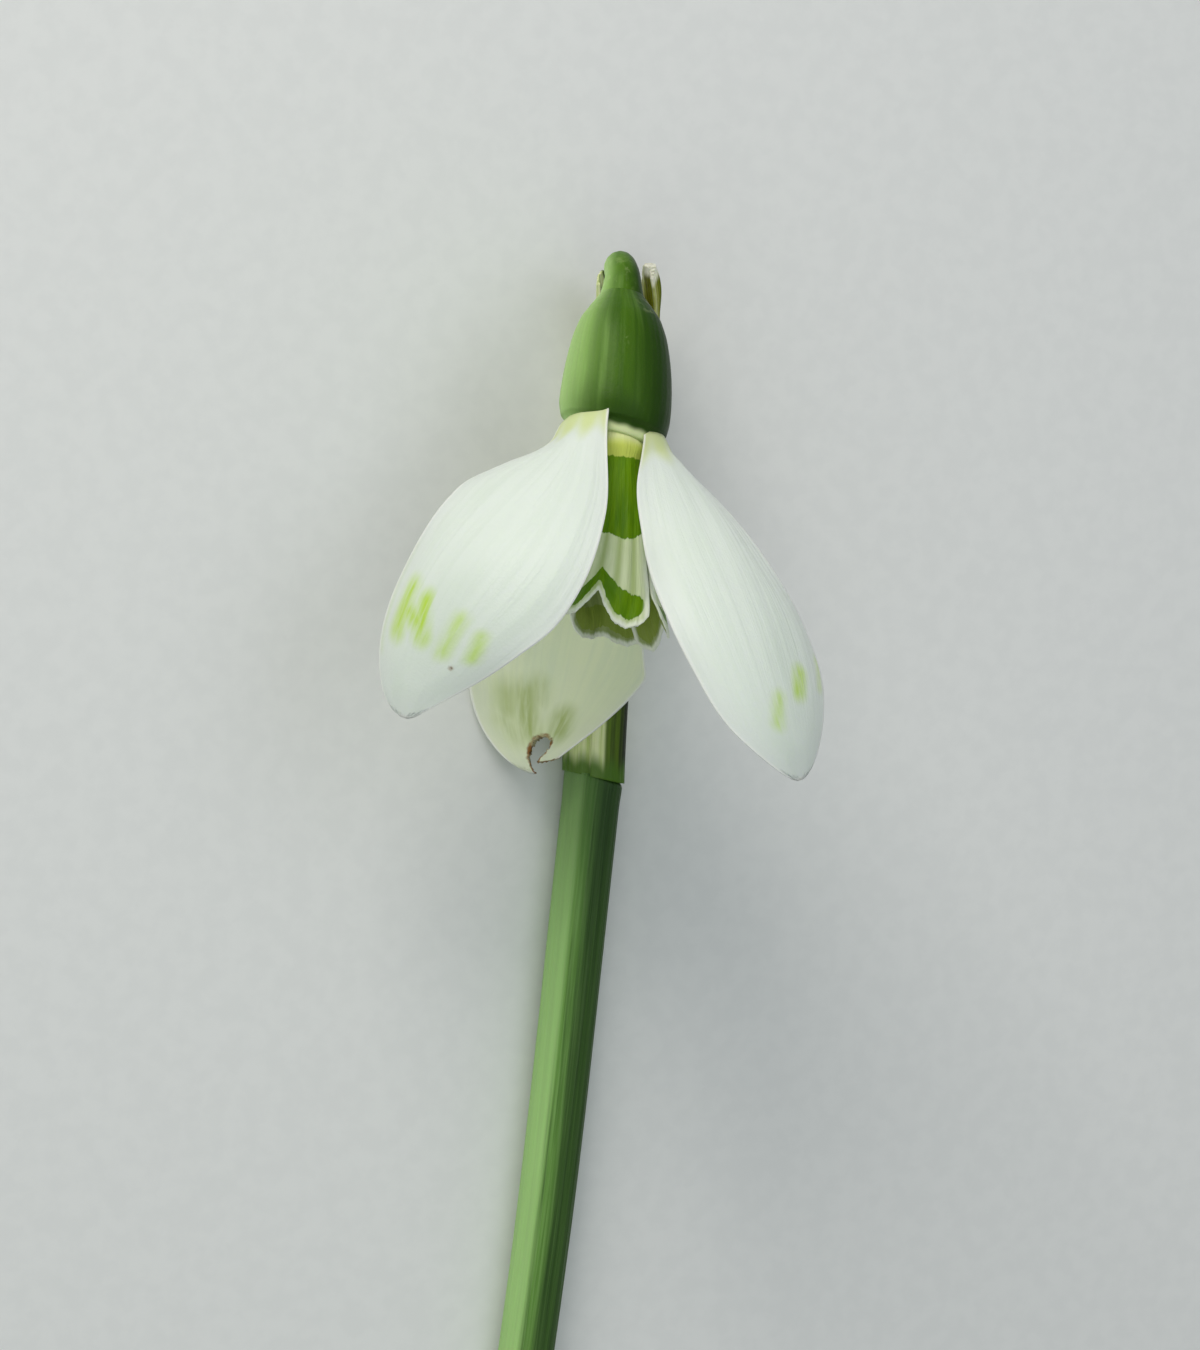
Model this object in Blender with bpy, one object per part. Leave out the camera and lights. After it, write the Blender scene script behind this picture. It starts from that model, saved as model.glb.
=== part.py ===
"""A picked snowdrop flower, lying on its stem and its petals on a flat surface.

The flower is drawn in its own frame, in millimetres. The origin is where the petals leave the
ovary, +Y runs up the ovary, +Z leaves the open side of the flower and the stem lies behind it,
at negative Z. The last step turns and shifts everything into the lying pose, in metres.
"""

from dataclasses import dataclass
from math import comb, cos, pi, radians, sin

import bmesh
import bpy
import numpy as np

MM = 0.001

# The lying pose: the turn about the stem's own length, then about X, then the shift to the origin.
LIE_ROLL = -24.05
LIE_PITCH = -2.8
LIE_SHIFT = (3.125, 35.155, 11.968)

# The flower axis leaves the ovary downwards, leaning to the left and tilting up from the stem.
OUTER_LEAN = 11.0
INNER_LEAN = 3.0
TILT = 14.0
NOTCH_WIDTH = 0.3
NOTCH_SHARPNESS = 1.4

STEM_DEPTH = 12.0
STEM_HALF_WIDTH = 1.8
STEM_HALF_DEPTH = 1.3
STEM_STEPS = 40
STEM_RIDGE = 0.16
STEM_TOP = (-1.2, -21.1, -STEM_DEPTH)
STEM_MIDDLE = (-4.5, -50.5, -STEM_DEPTH)
STEM_END = (-8.9, -80.2, -STEM_DEPTH)
STEM_TOP_SLANT = 0.22
SPIGOT_LENGTH = 1.6
SPIGOT_GAP = 0.1
SPIGOT_ROUNDING = 0.5
STEM_TAPER = 0.06
JOINT_GAP = 0.08

SHEATH_WALL = 0.35
SHEATH_COURSE = (STEM_TOP, (0.3, -8.0, -12.1), (1.5, 4.0, -11.6), (1.15, 10.2, -8.6))
SHEATH_HALF_WIDTHS = (1.8, 1.85, 1.9, 1.95, 2.0, 1.95, 1.5)
SHEATH_HALF_DEPTHS = (1.3, 1.4, 1.6, 1.8, 1.9, 1.8, 1.3)
SHEATH_WRAPS = (170.0, 168.0, 150.0, 128.0, 116.0, 108.0, 92.0)

FLOWER_STALK_COURSE = (
    (0.50, 8.38, -2.15),
    (0.50, 9.25, -2.52),
    (0.50, 9.88, -3.55),
    (0.52, 9.85, -5.10),
    (0.58, 9.15, -7.00),
    (0.70, 7.60, -9.00),
    (0.80, 5.00, -10.40),
    (0.55, 0.00, -11.45),
    (-0.10, -8.00, -11.90),
    (-1.05, -19.00, -11.95),
)
FLOWER_STALK_RADII = (1.0, 0.97, 0.97, 0.96, 0.92, 0.88, 0.82, 0.75, 0.7, 0.7)

OVARY_COURSE = ((0.0, -0.1, 0.0), (0.35, 2.8, -0.6), (0.45, 5.6, -1.1), (0.5, 8.27, -2.1))
OVARY_RADII = (2.2, 3.15, 3.34, 3.32, 3.22, 3.05, 2.80, 2.45, 1.95, 1.35, 1.05)
OVARY_STATIONS = (0.0, 0.03, 0.12, 0.24, 0.38, 0.52, 0.66, 0.78, 0.88, 0.95, 1.0)

STAMEN_COUNT = 6
STAMEN_RING = 1.15
FILAMENT_RADIUS = 0.13
ANTHER_RADIUS = 0.36
ANTHER_START = 1.5
ANTHER_LENGTH = 5.4
STYLE_RADIUS = 0.26
STYLE_LENGTH = 8.8


@dataclass(frozen=True)
class Petal:
    """One petal: a midrib curve in space, half widths either side of it and how far it is cupped.

    The midrib leaves the root at root_radius and azimuth on the flower axis, rises from the axis by
    rise degrees, swings sideways by swing, and is a cubic curve by reach, pull and tip. face is the
    way the blade's outer side looks. left and right are half widths, evenly spaced from root to tip.
    """

    azimuth: float
    rise: float
    swing: float
    reach: float
    pull: tuple
    tip: tuple
    face: tuple
    left: tuple
    right: tuple
    cup: tuple
    settled: float = 0.6
    blunt: float = 8.0
    narrowing: float = 1.0
    notch: float = 0.0
    notch_at: float = 0.0
    corner: float = 0.0
    slope: float = 0.0
    lean: float = OUTER_LEAN
    root_radius: float = 2.45
    root_height: float = 0.35
    thickness: float = 0.42


OUTER_PETALS = {
    "outer_tepal_left": Petal(
        azimuth=131.0, rise=34.0, swing=12.5, reach=10.0,
        pull=(-11.3, -7.2, 10.0), tip=(-12.2, -17.3, 7.3), face=(-0.45, 0.37, 0.81),
        left=(2.2, 2.6, 4.9, 4.55, 4.15, 3.85, 3.8, 3.9),
        right=(1.6, 2.9, 5.0, 6.8, 7.25, 6.45, 5.0, 2.5), cup=(6.0, 18.0, 13.0, 5.5),
        settled=0.2, root_radius=2.6,
    ),
    "outer_tepal_right": Petal(
        azimuth=14.0, rise=52.0, swing=12.0, reach=4.6,
        pull=(9.8, -9.5, 10.8), tip=(10.9, -20.9, 9.0), face=(0.64, 0.27, 0.72),
        left=(2.0, 4.2, 5.3, 6.1, 6.2, 5.8, 5.05, 3.0),
        right=(1.5, 1.7, 1.95, 2.6, 4.0, 4.2, 3.7, 2.85), cup=(4.0, 8.0, 8.5, 8.2),
        settled=0.35, root_radius=2.6,
    ),
    "outer_tepal_back": Petal(
        azimuth=-106.0, rise=46.0, swing=1.0, reach=8.4,
        pull=(-3.8, -12.4, -11.0), tip=(-4.7, -20.9, -9.6), face=(0.27, 0.24, -0.93),
        left=(1.5, 2.6, 4.9, 7.6, 9.0, 7.5, 4.8, 1.4),
        right=(1.5, 2.4, 3.9, 4.7, 4.8, 5.1, 4.9, 4.1), cup=(2.5, 6.0, 10.5, 9.0),
    ),
}

INNER_WIDTHS = (1.2, 1.4, 1.6, 1.75, 1.95, 2.3, 2.65, 2.7)
INNER = dict(
    left=INNER_WIDTHS, right=INNER_WIDTHS, cup=(1.8, 2.0, 2.4, 3.8), narrowing=0.0, corner=0.1,
    lean=INNER_LEAN, root_radius=1.75, root_height=0.65, thickness=0.36,
)
INNER_PETALS = {
    "inner_tepal_front": Petal(
        azimuth=80.0, rise=8.0, swing=0.0, reach=4.0,
        pull=(0.3, -7.0, 4.2), tip=(-0.9, -11.9, 5.9), face=(-0.12, 0.28, 0.94), notch=0.17,
        notch_at=-0.15, **INNER,
    ),
    "inner_tepal_left": Petal(
        azimuth=203.0, rise=6.0, swing=0.0, reach=4.0,
        pull=(-1.35, -7.3, 0.4), tip=(-1.8, -13.1, 0.8), face=(-0.6, 0.05, -0.8), notch=0.04,
        slope=0.12, **INNER,
    ),
    "inner_tepal_right": Petal(
        azimuth=-37.0, rise=6.0, swing=0.0, reach=4.0,
        pull=(2.35, -7.2, 0.9), tip=(2.9, -13.2, 2.3), face=(0.93, 0.1, -0.3), notch=0.12, **INNER,
    ),
}


def unit(vectors):
    """The vectors at length one."""
    vectors = np.asarray(vectors, float)
    return vectors / np.linalg.norm(vectors, axis=-1, keepdims=True)


def bezier(values, t):
    """The Bezier curve over control values or control points, at each t."""
    values = np.asarray(values, float)
    t = np.asarray(t, float)
    order = len(values) - 1
    weights = [comb(order, i) * (1 - t) ** (order - i) * t**i for i in range(order + 1)]
    return np.tensordot(np.stack(weights, -1), values, axes=1)


def through(values, u):
    """A smooth curve through evenly spaced values or points, at each u from 0 to 1."""
    values = np.asarray(values, float)
    last = len(values) - 1
    place = np.clip(np.asarray(u, float), 0, 1) * last
    index = np.minimum(place.astype(int), last - 1)
    f = place - index
    f = f.reshape(f.shape + (1,) * (values.ndim - 1))
    ends = np.concatenate([[2 * values[0] - values[1]], values, [2 * values[-1] - values[-2]]])
    a, b, c, d = (ends[index + i] for i in range(4))
    cubic = (2 * a - 5 * b + 4 * c - d) * f**2 + (3 * b - a - 3 * c + d) * f**3
    return 0.5 * (2 * b + (c - a) * f + cubic)


def flower_axes(lean):
    """The flower's axis, and the two directions across it: to the right and away from the stem."""
    l, t = radians(lean), radians(TILT)
    axis = np.array([-sin(l) * cos(t), -cos(l) * cos(t), sin(t)])
    across = np.array([cos(l), -sin(l), 0.0])
    outward = np.array([sin(l) * sin(t), cos(l) * sin(t), cos(t)])
    return axis, across, outward


def frames(centres, front=(0.0, 0.0, 1.0)):
    """Along, side and front directions at each point of a curve, with front held close to a given one."""
    along = unit(np.gradient(centres, axis=0))
    front = unit(np.asarray(front) - along * (along @ np.asarray(front))[:, None])
    return along, np.cross(along, front), front


def carried_frames(centres, side=(1.0, 0.0, 0.0)):
    """Side and front directions that turn with a curve that bends over."""
    along = unit(np.gradient(centres, axis=0))
    side = unit(np.asarray(side) - along * (along @ np.asarray(side))[:, None])
    return side, np.cross(side, along)


def petal_surface(petal, u, v):
    """Points of the petal's middle surface, u from root to tip and v from -1 at the left edge to 1."""
    axis, across, outward = flower_axes(petal.lean)
    angle = radians(petal.azimuth)
    radial = across * cos(angle) + outward * sin(angle)
    rise, swing = radians(petal.rise), radians(petal.swing)
    leaving = axis * cos(rise) + radial * sin(rise)
    leaving = leaving * cos(swing) + np.cross(radial, axis) * sin(swing)
    root = axis * petal.root_height + radial * petal.root_radius
    t = np.linspace(0, 1, 241)
    course = bezier((root, root + leaving * petal.reach, petal.pull, petal.tip), t)
    run = np.concatenate([[0], np.cumsum(np.linalg.norm(np.diff(course, axis=0), axis=1))])
    sinus = np.exp(-(np.abs((v - petal.notch_at) / NOTCH_WIDTH) ** NOTCH_SHARPNESS))
    ending = petal.notch * sinus + petal.corner * v**4 + petal.slope * (1 + v) / 2
    rising = np.clip((u - 0.3) / 0.7, 0, 1)
    u_here = u * (1 - ending * rising * rising * (3 - 2 * rising))

    def along_course(samples):
        return np.stack([np.interp(u_here * run[-1], run, samples[:, k]) for k in range(3)], -1)

    middle = along_course(course)
    along = unit(along_course(np.gradient(course, axis=0)))
    turn = np.clip(u_here / petal.settled, 0, 1)
    turn = (turn * turn * (3 - 2 * turn))[:, None]
    root_face = unit(radial - leaving * (radial @ leaving))
    face = unit((1 - turn) * root_face + turn * unit(petal.face))
    face = unit(face - along * (face * along).sum(1, keepdims=True))
    side = np.cross(face, along)
    rounding = np.sqrt(np.clip(1 - (petal.narrowing * u) ** petal.blunt, 0, 1))
    half = np.where(v < 0, through(petal.left, u), through(petal.right, u)) * rounding
    radius = bezier(petal.cup, u)
    bend = v * half / radius
    return (
        middle
        + side * (radius * np.sin(bend))[:, None]
        - face * (radius * (1 - np.cos(bend)))[:, None]
    )


def ovary_surface(u, v):
    """Points of the ovary's skin, u up from the petals and v once round."""
    station = np.interp(u, np.linspace(0, 1, len(OVARY_STATIONS)), OVARY_STATIONS)
    radius = through(OVARY_RADII, u)
    t = np.linspace(0, 1, 101)
    course = bezier(OVARY_COURSE, t)
    side, front = carried_frames(course)
    centre, side, front = (
        np.stack([np.interp(station, t, k[:, i]) for i in range(3)], -1) for k in (course, side, front)
    )
    angle = 2 * pi * v
    rib = 1 + 0.006 * np.cos(12 * angle) * np.sin(pi * np.clip(u, 0, 1))
    slope = -0.1 * (1 - station)
    ring = side * (radius * rib * np.cos(angle))[:, None] + front * (radius * rib * np.sin(angle))[:, None]
    ring[:, 1] += slope * ring[:, 0]
    return centre + ring


def stem_section(angle, half_width, half_depth):
    """The stem's two-edged section, with a low ridge along its front."""
    x = half_width * np.sign(np.cos(angle)) * np.abs(np.cos(angle)) ** 0.92
    z = half_depth * np.sign(np.sin(angle)) * np.abs(np.sin(angle)) ** 1.1
    return x, z + STEM_RIDGE * (np.sin(angle) > 0) * np.exp(-(((x + 0.35) / 0.5) ** 2)) * np.sin(angle)


def stem_surface(u, v):
    """Points of the stem's skin, u down from the spigot inside the sheath, and v once round."""
    t = np.linspace(0, 1, 101)
    course = through((STEM_TOP, STEM_MIDDLE, STEM_END), t)
    along, side, front = frames(course)
    spigot = 3 / STEM_STEPS
    below = np.clip((u - spigot) / (1 - spigot), 0, 1)
    centre, side, front = (
        np.stack([np.interp(below, t, k[:, i]) for i in range(3)], -1) for k in (course, -side, front)
    )
    inset = np.where(u < 2.5 / STEM_STEPS, SHEATH_WALL + SPIGOT_GAP, 0.0)
    rounding = 1 - SPIGOT_ROUNDING * (u < 0.5 / STEM_STEPS)
    taper = 1 - STEM_TAPER * below
    x, z = stem_section(2 * pi * v, STEM_HALF_WIDTH * taper, STEM_HALF_DEPTH * taper)
    shrink = (1 - inset / STEM_HALF_WIDTH) * rounding
    lift = np.interp(u * STEM_STEPS, [0, 1, 2, 3], [SPIGOT_LENGTH, SPIGOT_LENGTH - 0.3, 0, 0])
    points = centre + side * (x * shrink)[:, None] + front * (z * (1 - inset / STEM_HALF_DEPTH) * rounding)[:, None]
    points -= along[0] * (lift)[:, None]
    points[:, 1] -= STEM_TOP_SLANT * x * shrink * (below < 0.5 / STEM_STEPS)
    return points


def sheath_surface(u, v):
    """Points of the sheath's middle surface, u up from the stem and v from edge to edge."""
    t = np.linspace(0, 1, 101)
    course = bezier(SHEATH_COURSE, t)
    _, side, front = frames(course)
    centre, side, front = (
        np.stack([np.interp(u, t, k[:, i]) for i in range(3)], -1) for k in (course, side, front)
    )
    angle = np.radians(through(SHEATH_WRAPS, u)) * v
    half_wall = SHEATH_WALL / 2
    x = (through(SHEATH_HALF_WIDTHS, u) - half_wall) * np.sin(angle)
    z = -(through(SHEATH_HALF_DEPTHS, u) - half_wall) * np.cos(angle)
    points = centre + side * x[:, None] + front * z[:, None]
    points[:, 1] += JOINT_GAP - STEM_TOP_SLANT * x * np.clip(1 - u / 0.15, 0, 1)
    return points


def limb_surface(course, radii, u, v):
    """Points of a round limb along a smooth curve through the points of its course."""
    centres = through(course, np.linspace(0, 1, 101))
    side, front = carried_frames(centres)
    t = np.linspace(0, 1, 101)
    centre, side, front = (
        np.stack([np.interp(u, t, k[:, i]) for i in range(3)], -1) for k in (centres, side, front)
    )
    angle = 2 * pi * v
    radius = through(radii, u)
    return centre + side * (radius * np.cos(angle))[:, None] + front * (radius * np.sin(angle))[:, None]


def settle(points):
    """Turns and shifts points of the flower's frame into the lying pose, in metres."""
    roll, pitch = radians(LIE_ROLL), radians(LIE_PITCH)
    about_y = np.array([[cos(roll), 0, sin(roll)], [0, 1, 0], [-sin(roll), 0, cos(roll)]])
    about_x = np.array([[1, 0, 0], [0, cos(pitch), -sin(pitch)], [0, sin(pitch), cos(pitch)]])
    return (points @ (about_x @ about_y).T + np.array(LIE_SHIFT)) * MM


def material(name, colour, roughness):
    """A plain material. colour is sRGB, 0 to 255."""
    linear = [((c / 255 + 0.055) / 1.055) ** 2.4 for c in colour]
    made = bpy.data.materials.new(name)
    made.use_nodes = True
    shader = made.node_tree.nodes["Principled BSDF"]
    shader.inputs["Base Color"].default_value = (*linear, 1.0)
    shader.inputs["Roughness"].default_value = roughness
    made.diffuse_color = (*linear, 1.0)
    return made


def grid_object(name, surface, steps_u, steps_v, finish):
    """A grid whose rows run along u and columns along v, moved onto the surface."""
    mesh = bpy.data.meshes.new(name)
    work = bmesh.new()
    bmesh.ops.create_grid(work, x_segments=steps_u, y_segments=steps_v, size=1.0)
    places = np.array([vert.co for vert in work.verts])
    points = settle(surface((places[:, 0] + 1) / 2, places[:, 1]))
    for vert, point in zip(work.verts, points):
        vert.co = point
    work.to_mesh(mesh)
    work.free()
    thing = bpy.data.objects.new(name, mesh)
    bpy.context.scene.collection.objects.link(thing)
    mesh.materials.append(finish)
    return thing


def clean(thing, fill):
    """Merges the points that meet, closes the ends if asked, and turns the faces outwards."""
    work = bmesh.new()
    work.from_mesh(thing.data)
    bmesh.ops.remove_doubles(work, verts=work.verts, dist=1e-7)
    if fill:
        bmesh.ops.holes_fill(work, edges=work.edges, sides=0)
    bmesh.ops.recalc_face_normals(work, faces=work.faces)
    work.to_mesh(thing.data)
    work.free()


def sheet_solid(name, surface, steps_u, steps_v, thickness, finish):
    """A thin closed solid over a surface, half its thickness on each side."""
    thing = grid_object(name, surface, steps_u, steps_v, finish)
    clean(thing, fill=False)
    solid = thing.modifiers.new("thickness", "SOLIDIFY")
    solid.thickness = thickness * MM
    solid.offset = 0.0
    return thing


def tube_solid(name, surface, steps_u, steps_v, finish):
    """A closed solid over a surface that goes once round from v = -1 to v = 1."""
    thing = grid_object(name, lambda u, v: surface(u, (v + 1) / 2), steps_u, steps_v, finish)
    clean(thing, fill=True)
    return thing


def add_petals(petals, finish):
    """Each petal is a thin solid of its own."""
    for name, petal in petals.items():
        sheet_solid(name, lambda u, v, p=petal: petal_surface(p, u, v), 18, 10, petal.thickness, finish)


def add_stamens(finish, pale):
    """Pointed anthers on short filaments in a ring, and the style in the middle."""
    axis, across, outward = flower_axes(INNER_LEAN)
    for i in range(STAMEN_COUNT):
        angle = 2 * pi * (i + 0.5) / STAMEN_COUNT
        radial = across * cos(angle) + outward * sin(angle)
        start = radial * STAMEN_RING + axis * 0.55
        neck = radial * STAMEN_RING + axis * ANTHER_START
        end = radial * STAMEN_RING * 0.72 + axis * (ANTHER_START + ANTHER_LENGTH)
        course = [start, neck] + [neck + (end - neck) * k for k in (0.25, 0.5, 0.75, 1.0)]
        radii = [FILAMENT_RADIUS] + [ANTHER_RADIUS * k for k in (0.8, 1.0, 0.85, 0.5, 0.12)]
        tube_solid(
            f"stamen_{i + 1}", lambda u, v, c=course, r=radii: limb_surface(c, r, u, v), 16, 10, finish
        )
    course = [axis * 0.55, axis * (0.55 + STYLE_LENGTH / 2), axis * (0.55 + STYLE_LENGTH)]
    radii = [STYLE_RADIUS * k for k in (1.0, 0.85, 0.6)]
    tube_solid("style", lambda u, v: limb_surface(course, radii, u, v), 10, 10, pale)


def build():
    """Builds the flower."""
    for thing in list(bpy.data.objects):
        bpy.data.objects.remove(thing)
    petal = material("petal_white", (226, 232, 226), 0.55)
    inner = material("petal_marked", (206, 216, 190), 0.5)
    green = material("ovary_green", (86, 128, 48), 0.45)
    stem = material("stem_green", (96, 134, 84), 0.5)
    sheath = material("sheath_green", (150, 168, 104), 0.5)
    pollen = material("anther_orange", (222, 164, 48), 0.7)
    pale = material("style_pale", (196, 212, 150), 0.5)

    tube_solid("scape", stem_surface, STEM_STEPS, 24, stem)
    sheet_solid("spathe", sheath_surface, 30, 16, SHEATH_WALL, sheath)
    tube_solid(
        "pedicel", lambda u, v: limb_surface(FLOWER_STALK_COURSE, FLOWER_STALK_RADII, u, v), 44, 12, green
    )
    tube_solid("ovary", ovary_surface, 20, 32, green)
    add_petals(OUTER_PETALS, petal)
    add_petals(INNER_PETALS, inner)
    add_stamens(pollen, pale)


build()
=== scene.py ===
"""A picked snowdrop flower, lying on a pale table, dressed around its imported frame.

Every piece is drawn in the flower's own frame, in millimetres: the origin is where the petals leave
the ovary, +Y runs up the ovary and +Z leaves the open side of the flower, with the stem behind it.
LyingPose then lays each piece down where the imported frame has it.
"""

import logging
from dataclasses import dataclass, replace
from enum import Enum
from math import comb, cos, hypot, pi, radians, sin
from typing import Any, Callable, Mapping, Sequence

import bmesh
import bpy
import numpy as np
from mathutils import Matrix, Vector

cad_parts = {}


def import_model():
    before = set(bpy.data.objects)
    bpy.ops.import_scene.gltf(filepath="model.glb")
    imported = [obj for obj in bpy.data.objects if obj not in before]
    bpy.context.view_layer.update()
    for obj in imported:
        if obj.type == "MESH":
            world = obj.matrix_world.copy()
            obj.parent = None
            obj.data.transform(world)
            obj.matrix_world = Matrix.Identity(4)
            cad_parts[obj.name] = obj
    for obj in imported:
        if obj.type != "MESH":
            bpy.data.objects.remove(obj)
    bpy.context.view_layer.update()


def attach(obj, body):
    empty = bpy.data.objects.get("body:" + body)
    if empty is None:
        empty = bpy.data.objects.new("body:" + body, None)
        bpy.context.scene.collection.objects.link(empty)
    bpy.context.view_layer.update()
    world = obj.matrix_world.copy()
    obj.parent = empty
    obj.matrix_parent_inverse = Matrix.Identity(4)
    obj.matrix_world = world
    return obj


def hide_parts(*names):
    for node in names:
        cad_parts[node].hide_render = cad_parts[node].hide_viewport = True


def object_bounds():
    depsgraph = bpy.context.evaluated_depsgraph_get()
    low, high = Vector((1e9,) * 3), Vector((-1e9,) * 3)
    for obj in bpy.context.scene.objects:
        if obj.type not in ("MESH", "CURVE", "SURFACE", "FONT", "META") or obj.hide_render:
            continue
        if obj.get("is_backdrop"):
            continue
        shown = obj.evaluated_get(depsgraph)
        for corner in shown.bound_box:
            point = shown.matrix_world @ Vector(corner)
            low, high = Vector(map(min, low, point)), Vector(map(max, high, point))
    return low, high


LOG = logging.getLogger("snowdrop")
MM = 0.001
BODY = "root"
GROWTH_UV = "Growth"
COURSE_STEPS = 241
LIMB_STEPS = 161

Array = np.ndarray
Surface = Callable[[Array, Array], tuple[Array, Array]]
Socket = bpy.types.NodeSocket


# ---------------------------------------------------------------- curves


def unit(vectors: Array | Sequence[float]) -> Array:
    """Returns the vectors at length one."""
    vectors = np.asarray(vectors, float)
    return vectors / np.linalg.norm(vectors, axis=-1, keepdims=True)


def smoothstep(low: float, high: float, value: Array) -> Array:
    """Returns 0 below low, 1 above high and a smooth rise between them."""
    t = np.clip((value - low) / (high - low), 0, 1)
    return t * t * (3 - 2 * t)


def fade(low: float, high: float, value: Array) -> Array:
    """Returns 1 below low, 0 above high and a smooth fall between them."""
    return 1 - smoothstep(low, high, value)


def hump(offset: Array, spread: float) -> Array:
    """Returns 1 where the offset is nought, falling smoothly to nought a few spreads to each side."""
    return np.exp(-((offset / spread) ** 2))


def bezier(values: Sequence, t: Array) -> Array:
    """Returns the Bezier curve over control values or control points.

    Args:
        values: Control values, or points of the same length.
        t: Places along the curve, from 0 to 1.

    Returns:
        One value or point for each t.
    """
    values = np.asarray(values, float)
    t = np.asarray(t, float)
    order = len(values) - 1
    weights = [comb(order, i) * (1 - t) ** (order - i) * t**i for i in range(order + 1)]
    return np.tensordot(np.stack(weights, -1), values, axes=1)


def through(values: Sequence, u: Array) -> Array:
    """Returns a smooth curve that passes through evenly spaced values or points.

    Args:
        values: The values or points, first at u = 0 and last at u = 1.
        u: Places along the curve, from 0 to 1.

    Returns:
        One value or point for each u.
    """
    values = np.asarray(values, float)
    last = len(values) - 1
    place = np.clip(np.asarray(u, float), 0, 1) * last
    index = np.minimum(place.astype(int), last - 1)
    f = place - index
    f = f.reshape(f.shape + (1,) * (values.ndim - 1))
    ends = np.concatenate([[2 * values[0] - values[1]], values, [2 * values[-1] - values[-2]]])
    a, b, c, d = (ends[index + i] for i in range(4))
    cubic = (2 * a - 5 * b + 4 * c - d) * f**2 + (3 * b - a - 3 * c + d) * f**3
    return 0.5 * (2 * b + (c - a) * f + cubic)


def sampled(samples: Array, u: Array) -> Array:
    """Returns rows of evenly spaced samples, read at each u by straight interpolation."""
    t = np.linspace(0, 1, len(samples))
    return np.stack([np.interp(u, t, samples[:, k]) for k in range(samples.shape[1])], -1)


def carried_frames(centres: Array) -> tuple[Array, Array]:
    """Works out directions that turn with a curve, with side kept close to X.

    Args:
        centres: The curve's points.

    Returns:
        The side and front directions at each point.
    """
    along = unit(np.gradient(centres, axis=0))
    across = np.array([1.0, 0.0, 0.0])
    side = unit(across - along * (along @ across)[:, None])
    return side, np.cross(side, along)


# ---------------------------------------------------------------- laying the flower down


@dataclass(frozen=True)
class LyingPose:
    """How the flower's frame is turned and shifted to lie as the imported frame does.

    Attributes:
        roll: Turn about the stem's length, in degrees.
        pitch: Turn about X after that, in degrees.
        shift: Move after the turns, in millimetres.
    """

    roll: float = -24.05
    pitch: float = -2.8
    shift: tuple[float, float, float] = (3.125, 35.155, 11.968)

    def turn(self) -> Array:
        """Returns the rotation as a 3 by 3 array."""
        roll, pitch = radians(self.roll), radians(self.pitch)
        about_y = np.array([[cos(roll), 0, sin(roll)], [0, 1, 0], [-sin(roll), 0, cos(roll)]])
        about_x = np.array([[1, 0, 0], [0, cos(pitch), -sin(pitch)], [0, sin(pitch), cos(pitch)]])
        return about_x @ about_y

    def lay(self, points: Array) -> Array:
        """Returns points of the flower's frame, in millimetres, as places in metres."""
        return (np.asarray(points) @ self.turn().T + np.array(self.shift)) * MM

    def matrix(self) -> Matrix:
        """Returns the turn and shift for something placed in metres in the flower's frame."""
        made = Matrix(self.turn().tolist()).to_4x4()
        made.translation = Vector(self.shift) * MM
        return made


POSE = LyingPose()


# ---------------------------------------------------------------- making meshes


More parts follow.
